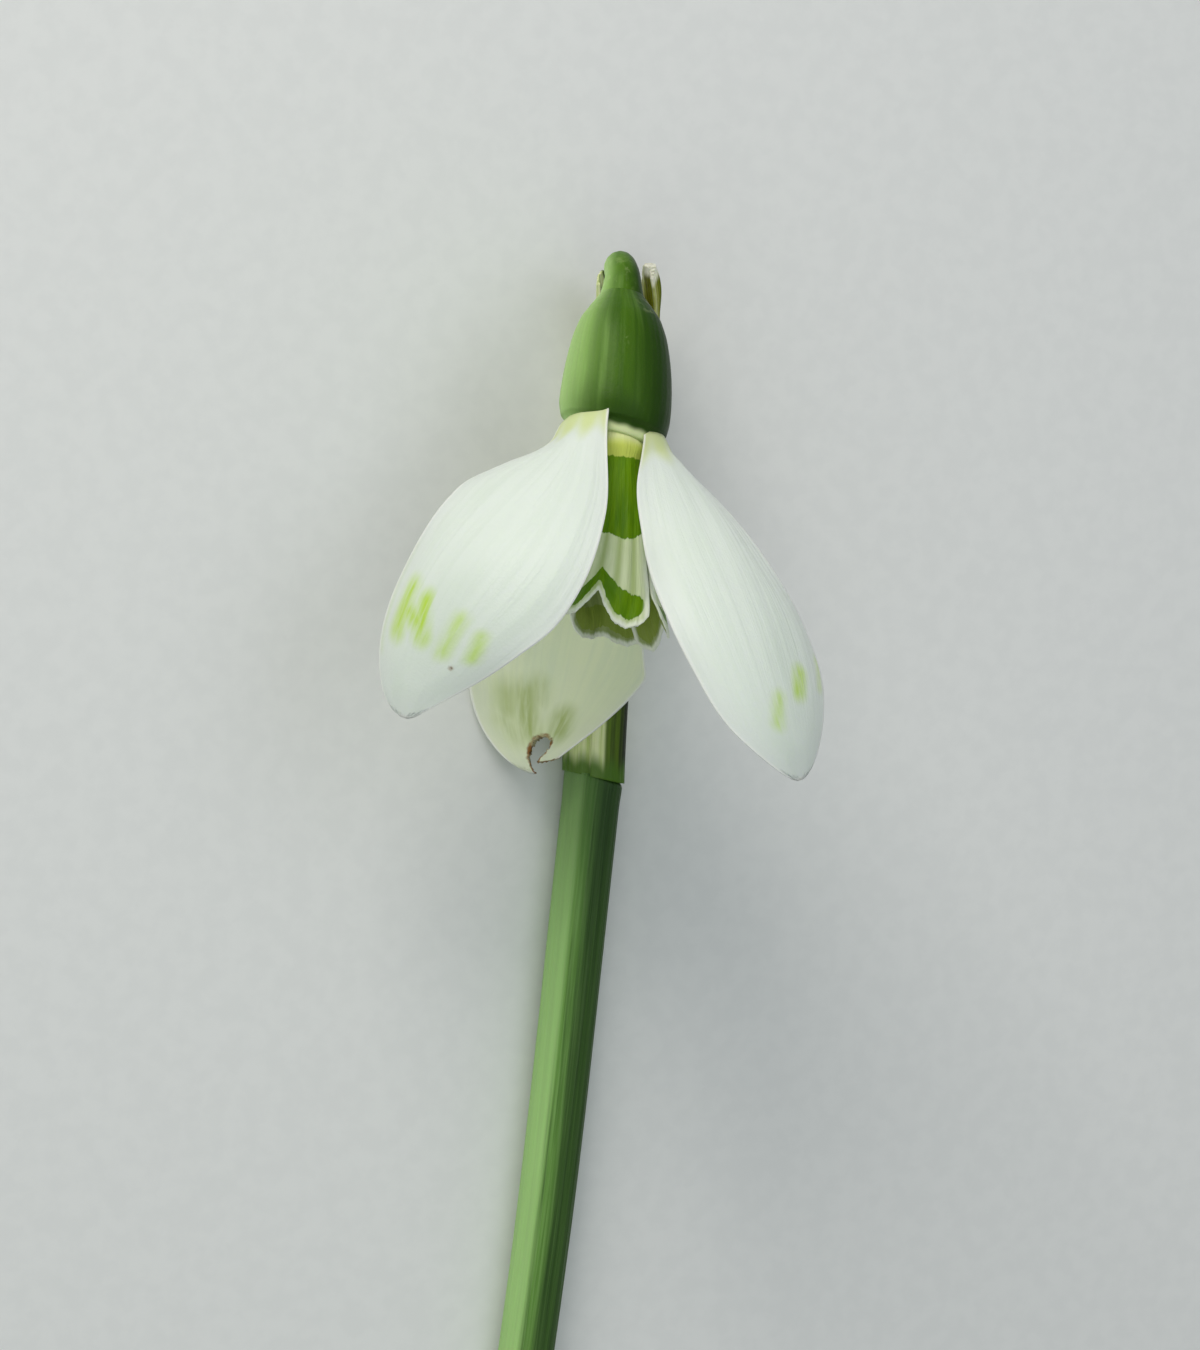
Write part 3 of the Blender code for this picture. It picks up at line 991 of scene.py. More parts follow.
@dataclass
class BittenPetal(OuterPetal):
    """The back petal, with a round hole eaten through it near the tip and open to the edge.

    bite is the hole's outline and middle its middle, as X and Y in the flower's frame, in millimetres.
    The brown ring is burnt_width wide at most, on the side that burnt_side gives in degrees.
    """

    bite: tuple[tuple[float, float], ...] = (
        (-4.75, -18.87), (-4.46, -18.74), (-4.04, -18.62), (-3.72, -18.91), (-3.81, -19.28),
        (-4.17, -19.74), (-4.54, -20.04), (-4.64, -20.24), (-3.96, -20.14), (-3.21, -19.95),
        (-2.6, -19.75), (-2.6, -21.9), (-4.77, -21.9), (-4.76, -20.91), (-5.0, -20.54),
        (-5.17, -19.95), (-5.0, -19.28),
    )
    middle: tuple[float, float] = (-4.4, -19.3)
    burnt_width: float = 0.3
    burnt_side: float = 140.0
    slope_step: float = 0.01
    smoothings: int = 4

    def outside(self, x: Array, y: Array) -> Array:
        """Measures how far places are from the bite's outline.

        Args:
            x: Their X in the flower's frame, in millimetres.
            y: Their Y.

        Returns:
            The distance outside the bite, in millimetres, negative inside.
        """
        x, y = np.asarray(x, float), np.asarray(y, float)
        nearest, crossings = np.full(x.shape, 1e3), np.zeros(x.shape)
        for (ax, ay), (bx, by) in zip(self.bite, self.bite[1:] + self.bite[:1]):
            dx, dy = bx - ax, by - ay
            t = np.clip(((x - ax) * dx + (y - ay) * dy) / (dx * dx + dy * dy), 0, 1)
            nearest = np.minimum(nearest, np.hypot(x - ax - t * dx, y - ay - t * dy))
            if dy:
                crossings += ((ay > y) != (by > y)) & (x < ax + (y - ay) * dx / dy)
        nibbled = 0.03 * np.sin(9.0 * x + 14.0 * y) * np.sin(13.0 * x - 8.0 * y)
        return np.where(crossings % 2 == 1, -nearest, nearest) + nibbled

    def flat_places(self, skin: Skin) -> tuple[Array, Array]:
        """Reads where the points are, seen from the front of the flower.

        Args:
            skin: The draped grid.

        Returns:
            Each point's X and Y in the flower's frame, in millimetres.
        """
        places = np.array([vert.co for vert in skin.work.verts]) / MM - np.array(POSE.shift)
        points = places @ POSE.turn()
        return points[:, 0], points[:, 1]

    def burn(self, u: Array, v: Array) -> Array:
        """Works out the brown ring round the bite, broadest at its upper left.

        Args:
            u: How far down the petal each place is.
            v: How far across it.

        Returns:
            How brown each place is, from 0 to 1.
        """
        places = self.shape.surface(u, v)[0]
        x, y = places[:, 0], places[:, 1]
        around = np.arctan2(y - self.middle[1], x - self.middle[0]) - radians(self.burnt_side)
        width = self.burnt_width * np.clip(0.55 + 0.6 * np.cos(around), 0.08, 1)
        return fade(0.5 * width, width, self.outside(x, y))

    def trim(self, skin: Skin) -> None:
        """Eats the hole, and draws its edge back to a smooth line.

        Args:
            skin: The draped grid.
        """
        x, y = self.flat_places(skin)
        gone = self.outside(x, y)
        points = list(skin.work.verts)
        skin.remove(gone < 0)
        step = self.slope_step
        turn = POSE.turn()
        for vert, px, py, depth in zip(points, x, y, gone):
            if not vert.is_valid or depth >= 0:
                continue
            for _ in range(self.smoothings):
                here = float(self.outside(px, py))
                gx = float(self.outside(px + step, py) - here) / step
                gy = float(self.outside(px, py + step) - here) / step
                slope = hypot(gx, gy) or 1.0
                move = np.array([gx, gy, 0.0]) * (-here / slope**2)
                vert.co += Vector((turn @ move * MM).tolist())
                px, py = px + move[0], py + move[1]


@dataclass
class InnerPetal:
    """One of the three short petals that close round the stamens, grooved and marked with green.

    Depths, thickness, fleshy_from, rim and mark_softness are in millimetres. collar, foot, claw,
    groove_start and rim_start are the shares of the petal's length between which each one fades.
    """

    name: str
    shape: PetalShape
    block: Band
    chevron: Band
    seed: float = 0.0
    rows: int = 150
    columns: int = 110
    grooves: int = 5
    groove_depth: float = 0.035
    flare: float = 0.25
    ruffle: float = 0.06
    bulge: float = 0.35
    bulge_at: float = 0.085
    bulge_reach: float = 0.05
    thickness: float = 0.34
    thin_edge: float = 0.35
    fleshy_from: float = 1.2
    rim: tuple[float, float] = (0.15, 0.45)
    rim_start: tuple[float, float] = (0.5, 0.8)
    collar: tuple[float, float] = (0.01, 0.035)
    foot: tuple[float, float] = (0.05, 0.1)
    claw: tuple[float, float] = (0.13, 0.16)
    groove_start: tuple[float, float] = (0.3, 0.5)
    mark_softness: float = 0.14

    def relief(self, u: Array, v: Array) -> Array:
        """Works out how far the base's bulge, the grooves and the flared rim stand off the blade.

        Args:
            u: How far down the petal each place is.
            v: How far across it.

        Returns:
            The height at each place, in millimetres.
        """
        ridges = np.cos(pi * self.grooves * v + 0.4 * np.sin(8 * u + self.seed))
        ridges *= self.groove_depth * smoothstep(0.25, 0.5, u) * fade(0.86, 0.97, u)
        bulge = self.bulge * hump(u - self.bulge_at, self.bulge_reach)
        flare = self.flare * smoothstep(0.86, 1.0, u)
        ruffle = self.ruffle * np.sin(9 * v + self.seed) * smoothstep(0.8, 1.0, u)
        return ridges + bulge + flare + ruffle

    def build(self) -> bpy.types.Object:
        """Makes the petal."""
        skin = Skin(self.name, self.rows, self.columns)
        u, v = skin.u, skin.v
        width, length = self.shape.half_width(u, v), self.shape.length()
        margin = np.minimum(width * (1 - np.abs(v)), (1 - u) * length)
        marked = np.maximum(*(mark.depth(u, v, length, width) for mark in (self.block, self.chevron)))
        skin.drape(self.shape.surface, self.relief(u, v))
        skin.keep(
            flesh=smoothstep(0.0, self.fleshy_from, margin),
            rim=fade(*self.rim, margin) * smoothstep(*self.rim_start, u),
            claw=fade(*self.claw, u),
            collar=fade(*self.collar, u),
            foot=fade(*self.foot, u),
            mark=smoothstep(-self.mark_softness, self.mark_softness, marked),
            groove=0.5 * (1 - np.cos(pi * self.grooves * v)) * smoothstep(*self.groove_start, u),
        )
        piece = skin.finish(False, PETAL_MARKED.build(), "petal_marked")
        piece.data.materials.append(PETAL_LINING.build())
        thicken(piece, self.thickness, self.thin_edge)
        piece.modifiers["flesh"].material_offset = 1
        return piece


# ---------------------------------------------------------------- ovary, stalk and stamens


@dataclass(frozen=True)
class Limb:
    """A round limb along a smooth curve, closed at both ends.

    Attributes:
        course: Points the middle line passes through.
        radii: Radii evenly spaced in the sweep.
        stations: How far along the course each of those rings stands, if they aren't even.
    """

    course: Array | Sequence
    radii: Sequence[float]
    stations: Sequence[float] = (0.0, 1.0)

    def surface(self, u: Array, v: Array) -> tuple[Array, Array]:
        """Sweeps the ring along the course.

        Args:
            u: How far through the sweep each point is, from 0 to 1.
            v: Where it is round the limb, from -1 to 1, with 0 in front.

        Returns:
            The points, in millimetres, and the outward normals.
        """
        centres = through(self.course, np.linspace(0, 1, LIMB_STEPS))
        side, front = carried_frames(centres)
        station = np.interp(u, np.linspace(0, 1, len(self.stations)), self.stations)
        centre, side, front = (sampled(rows, station) for rows in (centres, side, front))
        angle = pi / 2 - pi * v
        ring = side * np.cos(angle)[:, None] + front * np.sin(angle)[:, None]
        return centre + ring * np.maximum(through(self.radii, u), 0)[:, None], ring


def painted_shading_side(v: Array) -> Array:
    """Returns the mask for painted light and painted shade: one side of a round limb, fading out behind
    it.
    """
    return smoothstep(0.02, 0.45, v) * fade(0.6, 1.0, v)


@dataclass
class Ovary:
    """The green seed vessel: a smooth egg with three faint seams, paler scuffs and a flat base.

    radii are its rings from the middle of the base up, in millimetres, and stations how far up the
    course each stands, as a share of it. The rings start below the course's foot by the share below.
    shoulder and fleck say where its scuffs are, as a place round it and a station.
    """

    name: str = "ovary"
    course: tuple = ((0.0, -0.1, 0.0), (0.35, 2.8, -0.6), (0.45, 5.6, -1.1), (0.5, 8.27, -2.1))
    radii: tuple[float, ...] = (
        0.0, 1.3, 2.3, 2.78, 2.85, 2.95, 3.2, 3.34, 3.32, 3.22, 3.05, 2.80, 2.42, 1.88, 1.46, 1.12, 0.6,
    )
    stations: tuple[float, ...] = (
        -0.06, -0.08, -0.09, -0.08, -0.03, 0.0, 0.03, 0.12, 0.24, 0.38, 0.52, 0.66, 0.78, 0.88, 0.95,
        1.0, 1.0,
    )
    below: float = 0.12
    base_slope: float = -0.1
    seams: int = 3
    seam_depth: float = 0.07
    rib_height: float = 0.008
    swell_height: float = 0.05
    foot_shade: float = 0.8
    shoulder: tuple[float, float] = (0.33, 0.85)
    fleck: tuple[float, float] = (0.06, 0.55)
    rows: int = 150
    columns: int = 128

    def station(self, u: Array) -> Array:
        """Returns how far up the ovary each ring stands."""
        return np.interp(u, np.linspace(0, 1, len(self.stations)), self.stations)

    def surface(self, u: Array, v: Array) -> tuple[Array, Array]:
        """Sweeps the ovary's skin, with its base cut a little aslant.

        Args:
            u: How far up the ovary's rings each point is.
            v: Where it is round the ovary.

        Returns:
            The points, in millimetres, and the outward normals.
        """
        course = bezier(self.course, np.linspace(-self.below, 1, LIMB_STEPS))
        stations = (np.array(self.stations) + self.below) / (1 + self.below)
        points, ring = Limb(course, self.radii, stations).surface(u, v)
        across = ring[:, 0] * np.maximum(through(self.radii, u), 0)
        points[:, 1] += self.base_slope * (1 - self.station(u)) * across
        return points, ring

    def relief(self, u: Array, v: Array) -> Array:
        """Works out the seams, fine ribs and slow swellings of the skin.

        Args:
            u: How far up the ovary's rings each place is.
            v: Where it is round the ovary.

        Returns:
            The height at each place, in millimetres.
        """
        station = self.station(u)
        body = smoothstep(0.02, 0.15, station) * fade(0.8, 0.95, station)
        seams = -self.seam_depth * hump(np.sin(pi * self.seams * (v + 0.17) / 2), 0.12)
        ribs = self.rib_height * np.cos(38 * pi * v + 2 * np.sin(4 * u))
        swell = self.swell_height * np.sin(3 * pi * v + 1.0) * np.sin(6 * u + 2 * v)
        return (seams + ribs + swell) * body

    def build(self) -> bpy.types.Object:
        """Makes the ovary."""
        skin = Skin(self.name, self.rows, self.columns)
        u, v = skin.u, skin.v
        skin.drape(self.surface, self.relief(u, v))
        station = self.station(u)
        shoulders = hump(np.abs(v) - self.shoulder[0], 0.12) * hump(station - self.shoulder[1], 0.06)
        fleck = hump(v - self.fleck[0], 0.03) * hump(station - self.fleck[1], 0.02)
        foot = self.foot_shade * fade(0.0, 0.35, station) * smoothstep(-0.45, 0.0, v)
        # light is painted light on the left side; shade is painted shade on the right side and at the
        # foot.
        skin.keep(
            scuff=np.clip(shoulders + fleck, 0, 1),
            collar=fade(-0.055, -0.01, station + 0.004 * np.sin(17 * pi * v)),
            light=painted_shading_side(-v),
            shade=np.maximum(painted_shading_side(v + 0.1), foot * fade(0.6, 1.0, v)),
        )
        return skin.finish(True, OVARY_SKIN.build(), "ovary_green")


@dataclass
class FlowerStalk:
    """The thin stalk that leaves the sheath, bends over the top and holds the flower."""

    name: str = "pedicel"
    course: tuple = (
        (0.52, 7.6, -1.85), (0.58, 9.20, -2.4), (0.45, 9.86, -3.50), (0.48, 9.85, -5.10),
        (0.58, 9.15, -7.00), (0.70, 7.60, -9.00), (0.80, 5.00, -10.40), (0.55, 0.00, -11.45),
        (-0.20, -8.00, -11.90), (-1.10, -19.20, -11.95),
    )
    radii: tuple[float, ...] = (1.42, 1.1, 1.02, 0.98, 0.92, 0.88, 0.82, 0.75, 0.7, 0.7)
    rib_height: float = 0.006
    swell_height: float = 0.03
    scuff_strength: float = 0.5
    rows: int = 220
    columns: int = 64

    def build(self) -> bpy.types.Object:
        """Makes the stalk."""
        skin = Skin(self.name, self.rows, self.columns)
        u, v = skin.u, skin.v
        limb = Limb(self.course, self.radii)
        ribs = self.rib_height * np.cos(14 * pi * v) + self.swell_height * np.sin(2 * pi * v + 5 * u)
        skin.drape(limb.surface, ribs * smoothstep(0.02, 0.08, u))
        # light is painted light on the left side; shade is painted shade on the right side.
        skin.keep(
            light=painted_shading_side(-v) * fade(0.3, 0.5, u),
            shade=painted_shading_side(v + 0.1),
            scuff=self.scuff_strength * hump(u - 0.1, 0.05),
        )
        return skin.finish(True, STALK_SKIN.build(), "ovary_green")


@dataclass
class Stamens:
    """Six pointed anthers on short filaments round the style, sized in millimetres.

    The anthers' tips stand at the share closing of the ring's radius.
    """

    count: int = 6
    ring: float = 1.15
    filament_radius: float = 0.13
    anther_radius: float = 0.36
    start: float = 1.5
    length: float = 5.4
    style_radius: float = 0.26
    style_length: float = 8.8
    foot: float = 0.3
    closing: float = 0.72
    pouch_depth: float = 0.1

    def stamen(self, index: int, finish: bpy.types.Material) -> bpy.types.Object:
        """Makes one stamen.

        Args:
            index: Which of them it is, from 0.
            finish: The anthers' material.

        Returns:
            The new object.
        """
        axis, across, outward = Whorl.INNER.axes()
        angle = 2 * pi * (index + 0.5) / self.count
        radial = across * cos(angle) + outward * sin(angle)
        neck = radial * self.ring + axis * self.start
        end = radial * self.ring * self.closing + axis * (self.start + self.length)
        course = [radial * self.ring + axis * self.foot, neck]
        course += [neck + (end - neck) * k for k in (0.25, 0.5, 0.75, 1.0)]
        radii = [self.filament_radius] + [self.anther_radius * k for k in (0.8, 1.0, 0.85, 0.5, 0.1)]
        skin = Skin(f"stamen_{index + 1}", 60, 28)
        u, v = skin.u, skin.v
        pouches = -self.pouch_depth * np.cos(2 * pi * v) ** 6 * smoothstep(0.22, 0.35, u) * (1 - u)
        skin.drape(Limb(course, radii).surface, pouches)
        skin.keep(filament=fade(0.12, 0.22, u))
        return skin.finish(True, finish, "anther_orange")

    def style(self) -> bpy.types.Object:
        """Makes the style."""
        axis = Whorl.INNER.axes()[0]
        end = self.foot + self.style_length
        course = [axis * (self.foot + (end - self.foot) * k) for k in (0.0, 0.5, 0.97, 1.0)]
        skin = Skin("style", 60, 24)
        radii = [self.style_radius * k for k in (1.0, 0.92, 0.85, 0.75, 0.66, 0.6, 0.3)]
        skin.drape(Limb(course, radii).surface)
        return skin.finish(True, STYLE_FLESH.build(), "style_pale")

    def build(self) -> list[bpy.types.Object]:
        """Makes the stamens and the style."""
        finish = ANTHER_POLLEN.build()
        return [self.stamen(index, finish) for index in range(self.count)] + [self.style()]


# ---------------------------------------------------------------- stem and sheath

STEM_COURSE = ((-1.2, -21.25, -12.0), (-4.5, -50.5, -12.0), (-8.9, -80.2, -12.0))


@dataclass
class Stem:
    """The flower stem: two-edged, with a low ridge in front, fine grooves and a clean cut end.

    Lengths are in millimetres. inside is how far its top stands in the sheath, where it narrows by
    spigot_rounding. cut_share of the rows draw the cut end, and bevel_share of those its bevel.
    """

    name: str = "scape"
    half_width: float = 1.8
    half_depth: float = 1.3
    ridge_height: float = 0.26
    ridge_place: float = -0.3
    ridge_width: float = 0.75
    length: float = 60.0
    inside: float = 1.5
    spigot_rounding: float = 0.22
    collar_slant: float = 0.22
    taper: float = 0.06
    edge_sharpness: float = 0.92
    face_fullness: float = 1.1
    groove_depth: float = 0.014
    cut_share: float = 0.04
    bevel_share: float = 0.25
    bevel_width: float = 0.06
    bevel_length: float = 0.12
    rows: int = 420
    columns: int = 110

    def surface(self, u: Array, v: Array) -> tuple[Array, Array]:
        """Sweeps the stem's ridged outline from inside the sheath down to the cut end.

        Args:
            u: How far down the stem each point is, with the cut end in the last rows.
            v: Where it is round the stem, with 0 in front.

        Returns:
            The points, in millimetres, and the outward normals.
        """
        centres = through(STEM_COURSE, np.linspace(0, 1, LIMB_STEPS))
        along = unit(np.gradient(centres, axis=0))
        front = unit(np.array([0.0, 0.0, 1.0]) - along * along[:, 2:])
        side = np.cross(front, along)
        body = np.clip(u / (1 - self.cut_share), 0, 1)
        cut = np.clip((u - 1 + self.cut_share) / self.cut_share, 0, 1)
        place = np.clip(body * (1 + self.inside / self.length) - self.inside / self.length, 0, 1)
        hidden = np.clip(self.inside - body * (self.length + self.inside), 0, None)
        centre, side, front = (sampled(rows, place) for rows in (centres, side, front))
        angle = pi / 2 - pi * v
        shrink = (1 - self.taper * place) * (1 - self.spigot_rounding * smoothstep(0.0, 0.5, hidden))
        bevel = np.clip(cut / self.bevel_share, 0, 1)
        shrink = shrink - self.bevel_width * (1 - np.sqrt(1 - bevel**2)) * (cut > 0)
        shrink = shrink * (1 - np.clip((cut - self.bevel_share) / (1 - self.bevel_share), 0, 1))
        cosine, sine = np.cos(angle), np.sin(angle)
        x = self.half_width * np.sign(cosine) * np.abs(cosine) ** self.edge_sharpness
        z = self.half_depth * np.sign(sine) * np.abs(sine) ** self.face_fullness
        ridge = self.ridge_height * np.clip(sine, 0, 1) * hump(x - self.ridge_place, self.ridge_width)
        points = centre + side * (x * shrink)[:, None] + front * ((z + ridge) * shrink)[:, None]
        points -= along[0] * hidden[:, None]
        points += along[-1] * (self.bevel_length * bevel)[:, None]
        points[:, 1] -= self.collar_slant * x * shrink * fade(0.0, 0.03, place)
        normal = unit(np.stack([x / self.half_width**2, z / self.half_depth**2], -1))
        return points, side * normal[:, :1] + front * normal[:, 1:]

    def build(self) -> bpy.types.Object:
        """Makes the stem."""
        skin = Skin(self.name, self.rows, self.columns)
        u, v = skin.u, skin.v
        grooves = np.cos(46 * pi * v + 1.5 * np.sin(7 * u)) + 0.7 * np.cos(20 * pi * v + 4 * u)
        sides = fade(0.955, 0.962, u)
        skin.drape(self.surface, self.groove_depth * grooves * sides)
        # lit is painted light on the left facet and shade painted shade on the right; upper darkens the
        # top.
        skin.keep(
            cut=smoothstep(0.972, 0.975, u),
            upper=fade(0.03, 0.2, u),
            lit=smoothstep(0.03, 0.12, -v) * fade(0.5, 0.8, -v) * sides,
            shade=smoothstep(-0.05, 0.16, v) * fade(0.5, 0.8, v) * sides,
        )
        return skin.finish(True, STEM_SKIN.build(), "stem_green")


@dataclass
class Sheath:
    """The sheath round the flower's stalk: two green keels, a papery skin and an open mouth.

    Sizes are in millimetres. wraps are how far it reaches round to each side, in degrees. lap is how
    far one edge stands over the other at its foot, and slant how much its foot is cut aslant.
    """

    name: str = "spathe"
    course: tuple = (STEM_COURSE[0], (-1.0, -10.0, -12.1), (1.6, 4.0, -11.6), (0.75, 9.95, -8.6))
    half_widths: tuple[float, ...] = (1.76, 1.8, 1.84, 1.9, 1.95, 1.85, 1.65)
    half_depths: tuple[float, ...] = (1.33, 1.38, 1.42, 1.6, 1.7, 1.7, 1.2)
    wraps: tuple[float, ...] = (186.0, 182.0, 160.0, 135.0, 118.0, 108.0, 96.0)
    keel_place: float = 0.55
    keel_width: float = 0.13
    keel_height: float = 0.22
    finger_place: float = 0.68
    finger_width: float = 0.2
    finger_height: float = 0.15
    rib_height: float = 0.02
    pucker_height: float = 0.04
    lap: float = 0.16
    slant: float = 0.22
    raised: float = 0.08
    rows: int = 260
    columns: int = 120
    thickness: float = 0.7
    thin_edge: float = 0.15
    fleshy_from: float = 1.2
    reach_across: float = 5.0
    reach_up: float = 30.0

    def surface(self, u: Array, v: Array) -> tuple[Array, Array]:
        """Wraps the sheath round its course, with one edge lapped over the other at its foot.

        Args:
            u: How far up the sheath each point is.
            v: Where it is round the sheath, with 0 at the back.

        Returns:
            The points, in millimetres, and the outward normals.
        """
        course = bezier(self.course, np.linspace(0, 1, LIMB_STEPS))
        along = unit(np.gradient(course, axis=0))
        front = unit(np.array([0.0, 0.0, 1.0]) - along * along[:, 2:])
        side = np.cross(along, front)
        keels = smoothstep(0.25, 0.5, np.abs(v)) * (1 - 0.25 * smoothstep(0.75, 1.0, np.abs(v)))
        reach = u * (1 - 0.1 * (1 - keels) * smoothstep(0.7, 1.0, u))
        centre, side, front = (sampled(rows, reach) for rows in (course, side, front))
        angle = np.radians(through(self.wraps, u)) * v
        width, depth = through(self.half_widths, u), through(self.half_depths, u)
        lapped = self.lap * smoothstep(0.85, 0.97, v) * fade(0.12, 0.2, u)
        x, z = np.sin(angle), -np.cos(angle)
        normal = unit(np.stack([x / width, z / depth], -1))
        outward = side * normal[:, :1] + front * normal[:, 1:]
        points = centre + side * (x * width)[:, None] + front * (z * depth)[:, None]
        points += outward * lapped[:, None]
        points[:, 1] += self.raised - self.slant * x * width * fade(0.0, 0.15, u)
        return points, outward

    def build(self) -> bpy.types.Object:
        """Makes the sheath."""
        skin = Skin(self.name, self.rows, self.columns)
        u, v = skin.u, skin.v
        keels = hump(np.abs(v) - self.keel_place, self.keel_width)
        finger = hump(v - self.finger_place, self.finger_width) * smoothstep(0.85, 0.95, u)
        ribs = self.rib_height * np.cos(34 * pi * v + 1.5 * np.sin(9 * u))
        puckers = self.pucker_height * np.sin(5 * pi * v + 9 * u) * smoothstep(0.2, 0.5, u)
        grown = keels * self.keel_height * smoothstep(0.15, 0.4, u) * (1 - 0.6 * u)
        skin.drape(self.surface, grown + self.finger_height * finger + ribs + puckers)
        margin = np.minimum((1 - np.abs(v)) * self.reach_across, (1 - u) * self.reach_up)
        flesh = smoothstep(0.0, self.fleshy_from, margin) * (0.3 + 0.15 * keels) + 0.7 * finger
        right = hump(v - 0.66, 0.24)
        left = hump(v + 0.46, 0.12)
        skin.keep(
            flesh=np.clip(flesh, 0, 1),
            keel=smoothstep(0.3, 0.75, np.maximum(right, left) + 0.12 * np.sin(40 * v)),
            dry=smoothstep(0.965, 0.985, u) * smoothstep(0.3, 0.6, v),
            shade=hump(v - 0.56, 0.13),
            foot=fade(0.012, 0.05, u + 0.006 * np.sin(31 * v)),
            ripe=smoothstep(0.7, 0.85, u) * smoothstep(0.0, 0.3, v),
        )
        piece = skin.finish(False, SHEATH_SKIN.build(), "sheath_green")
        thicken(piece, self.thickness, self.thin_edge)
        return piece


# ---------------------------------------------------------------- the whole flower


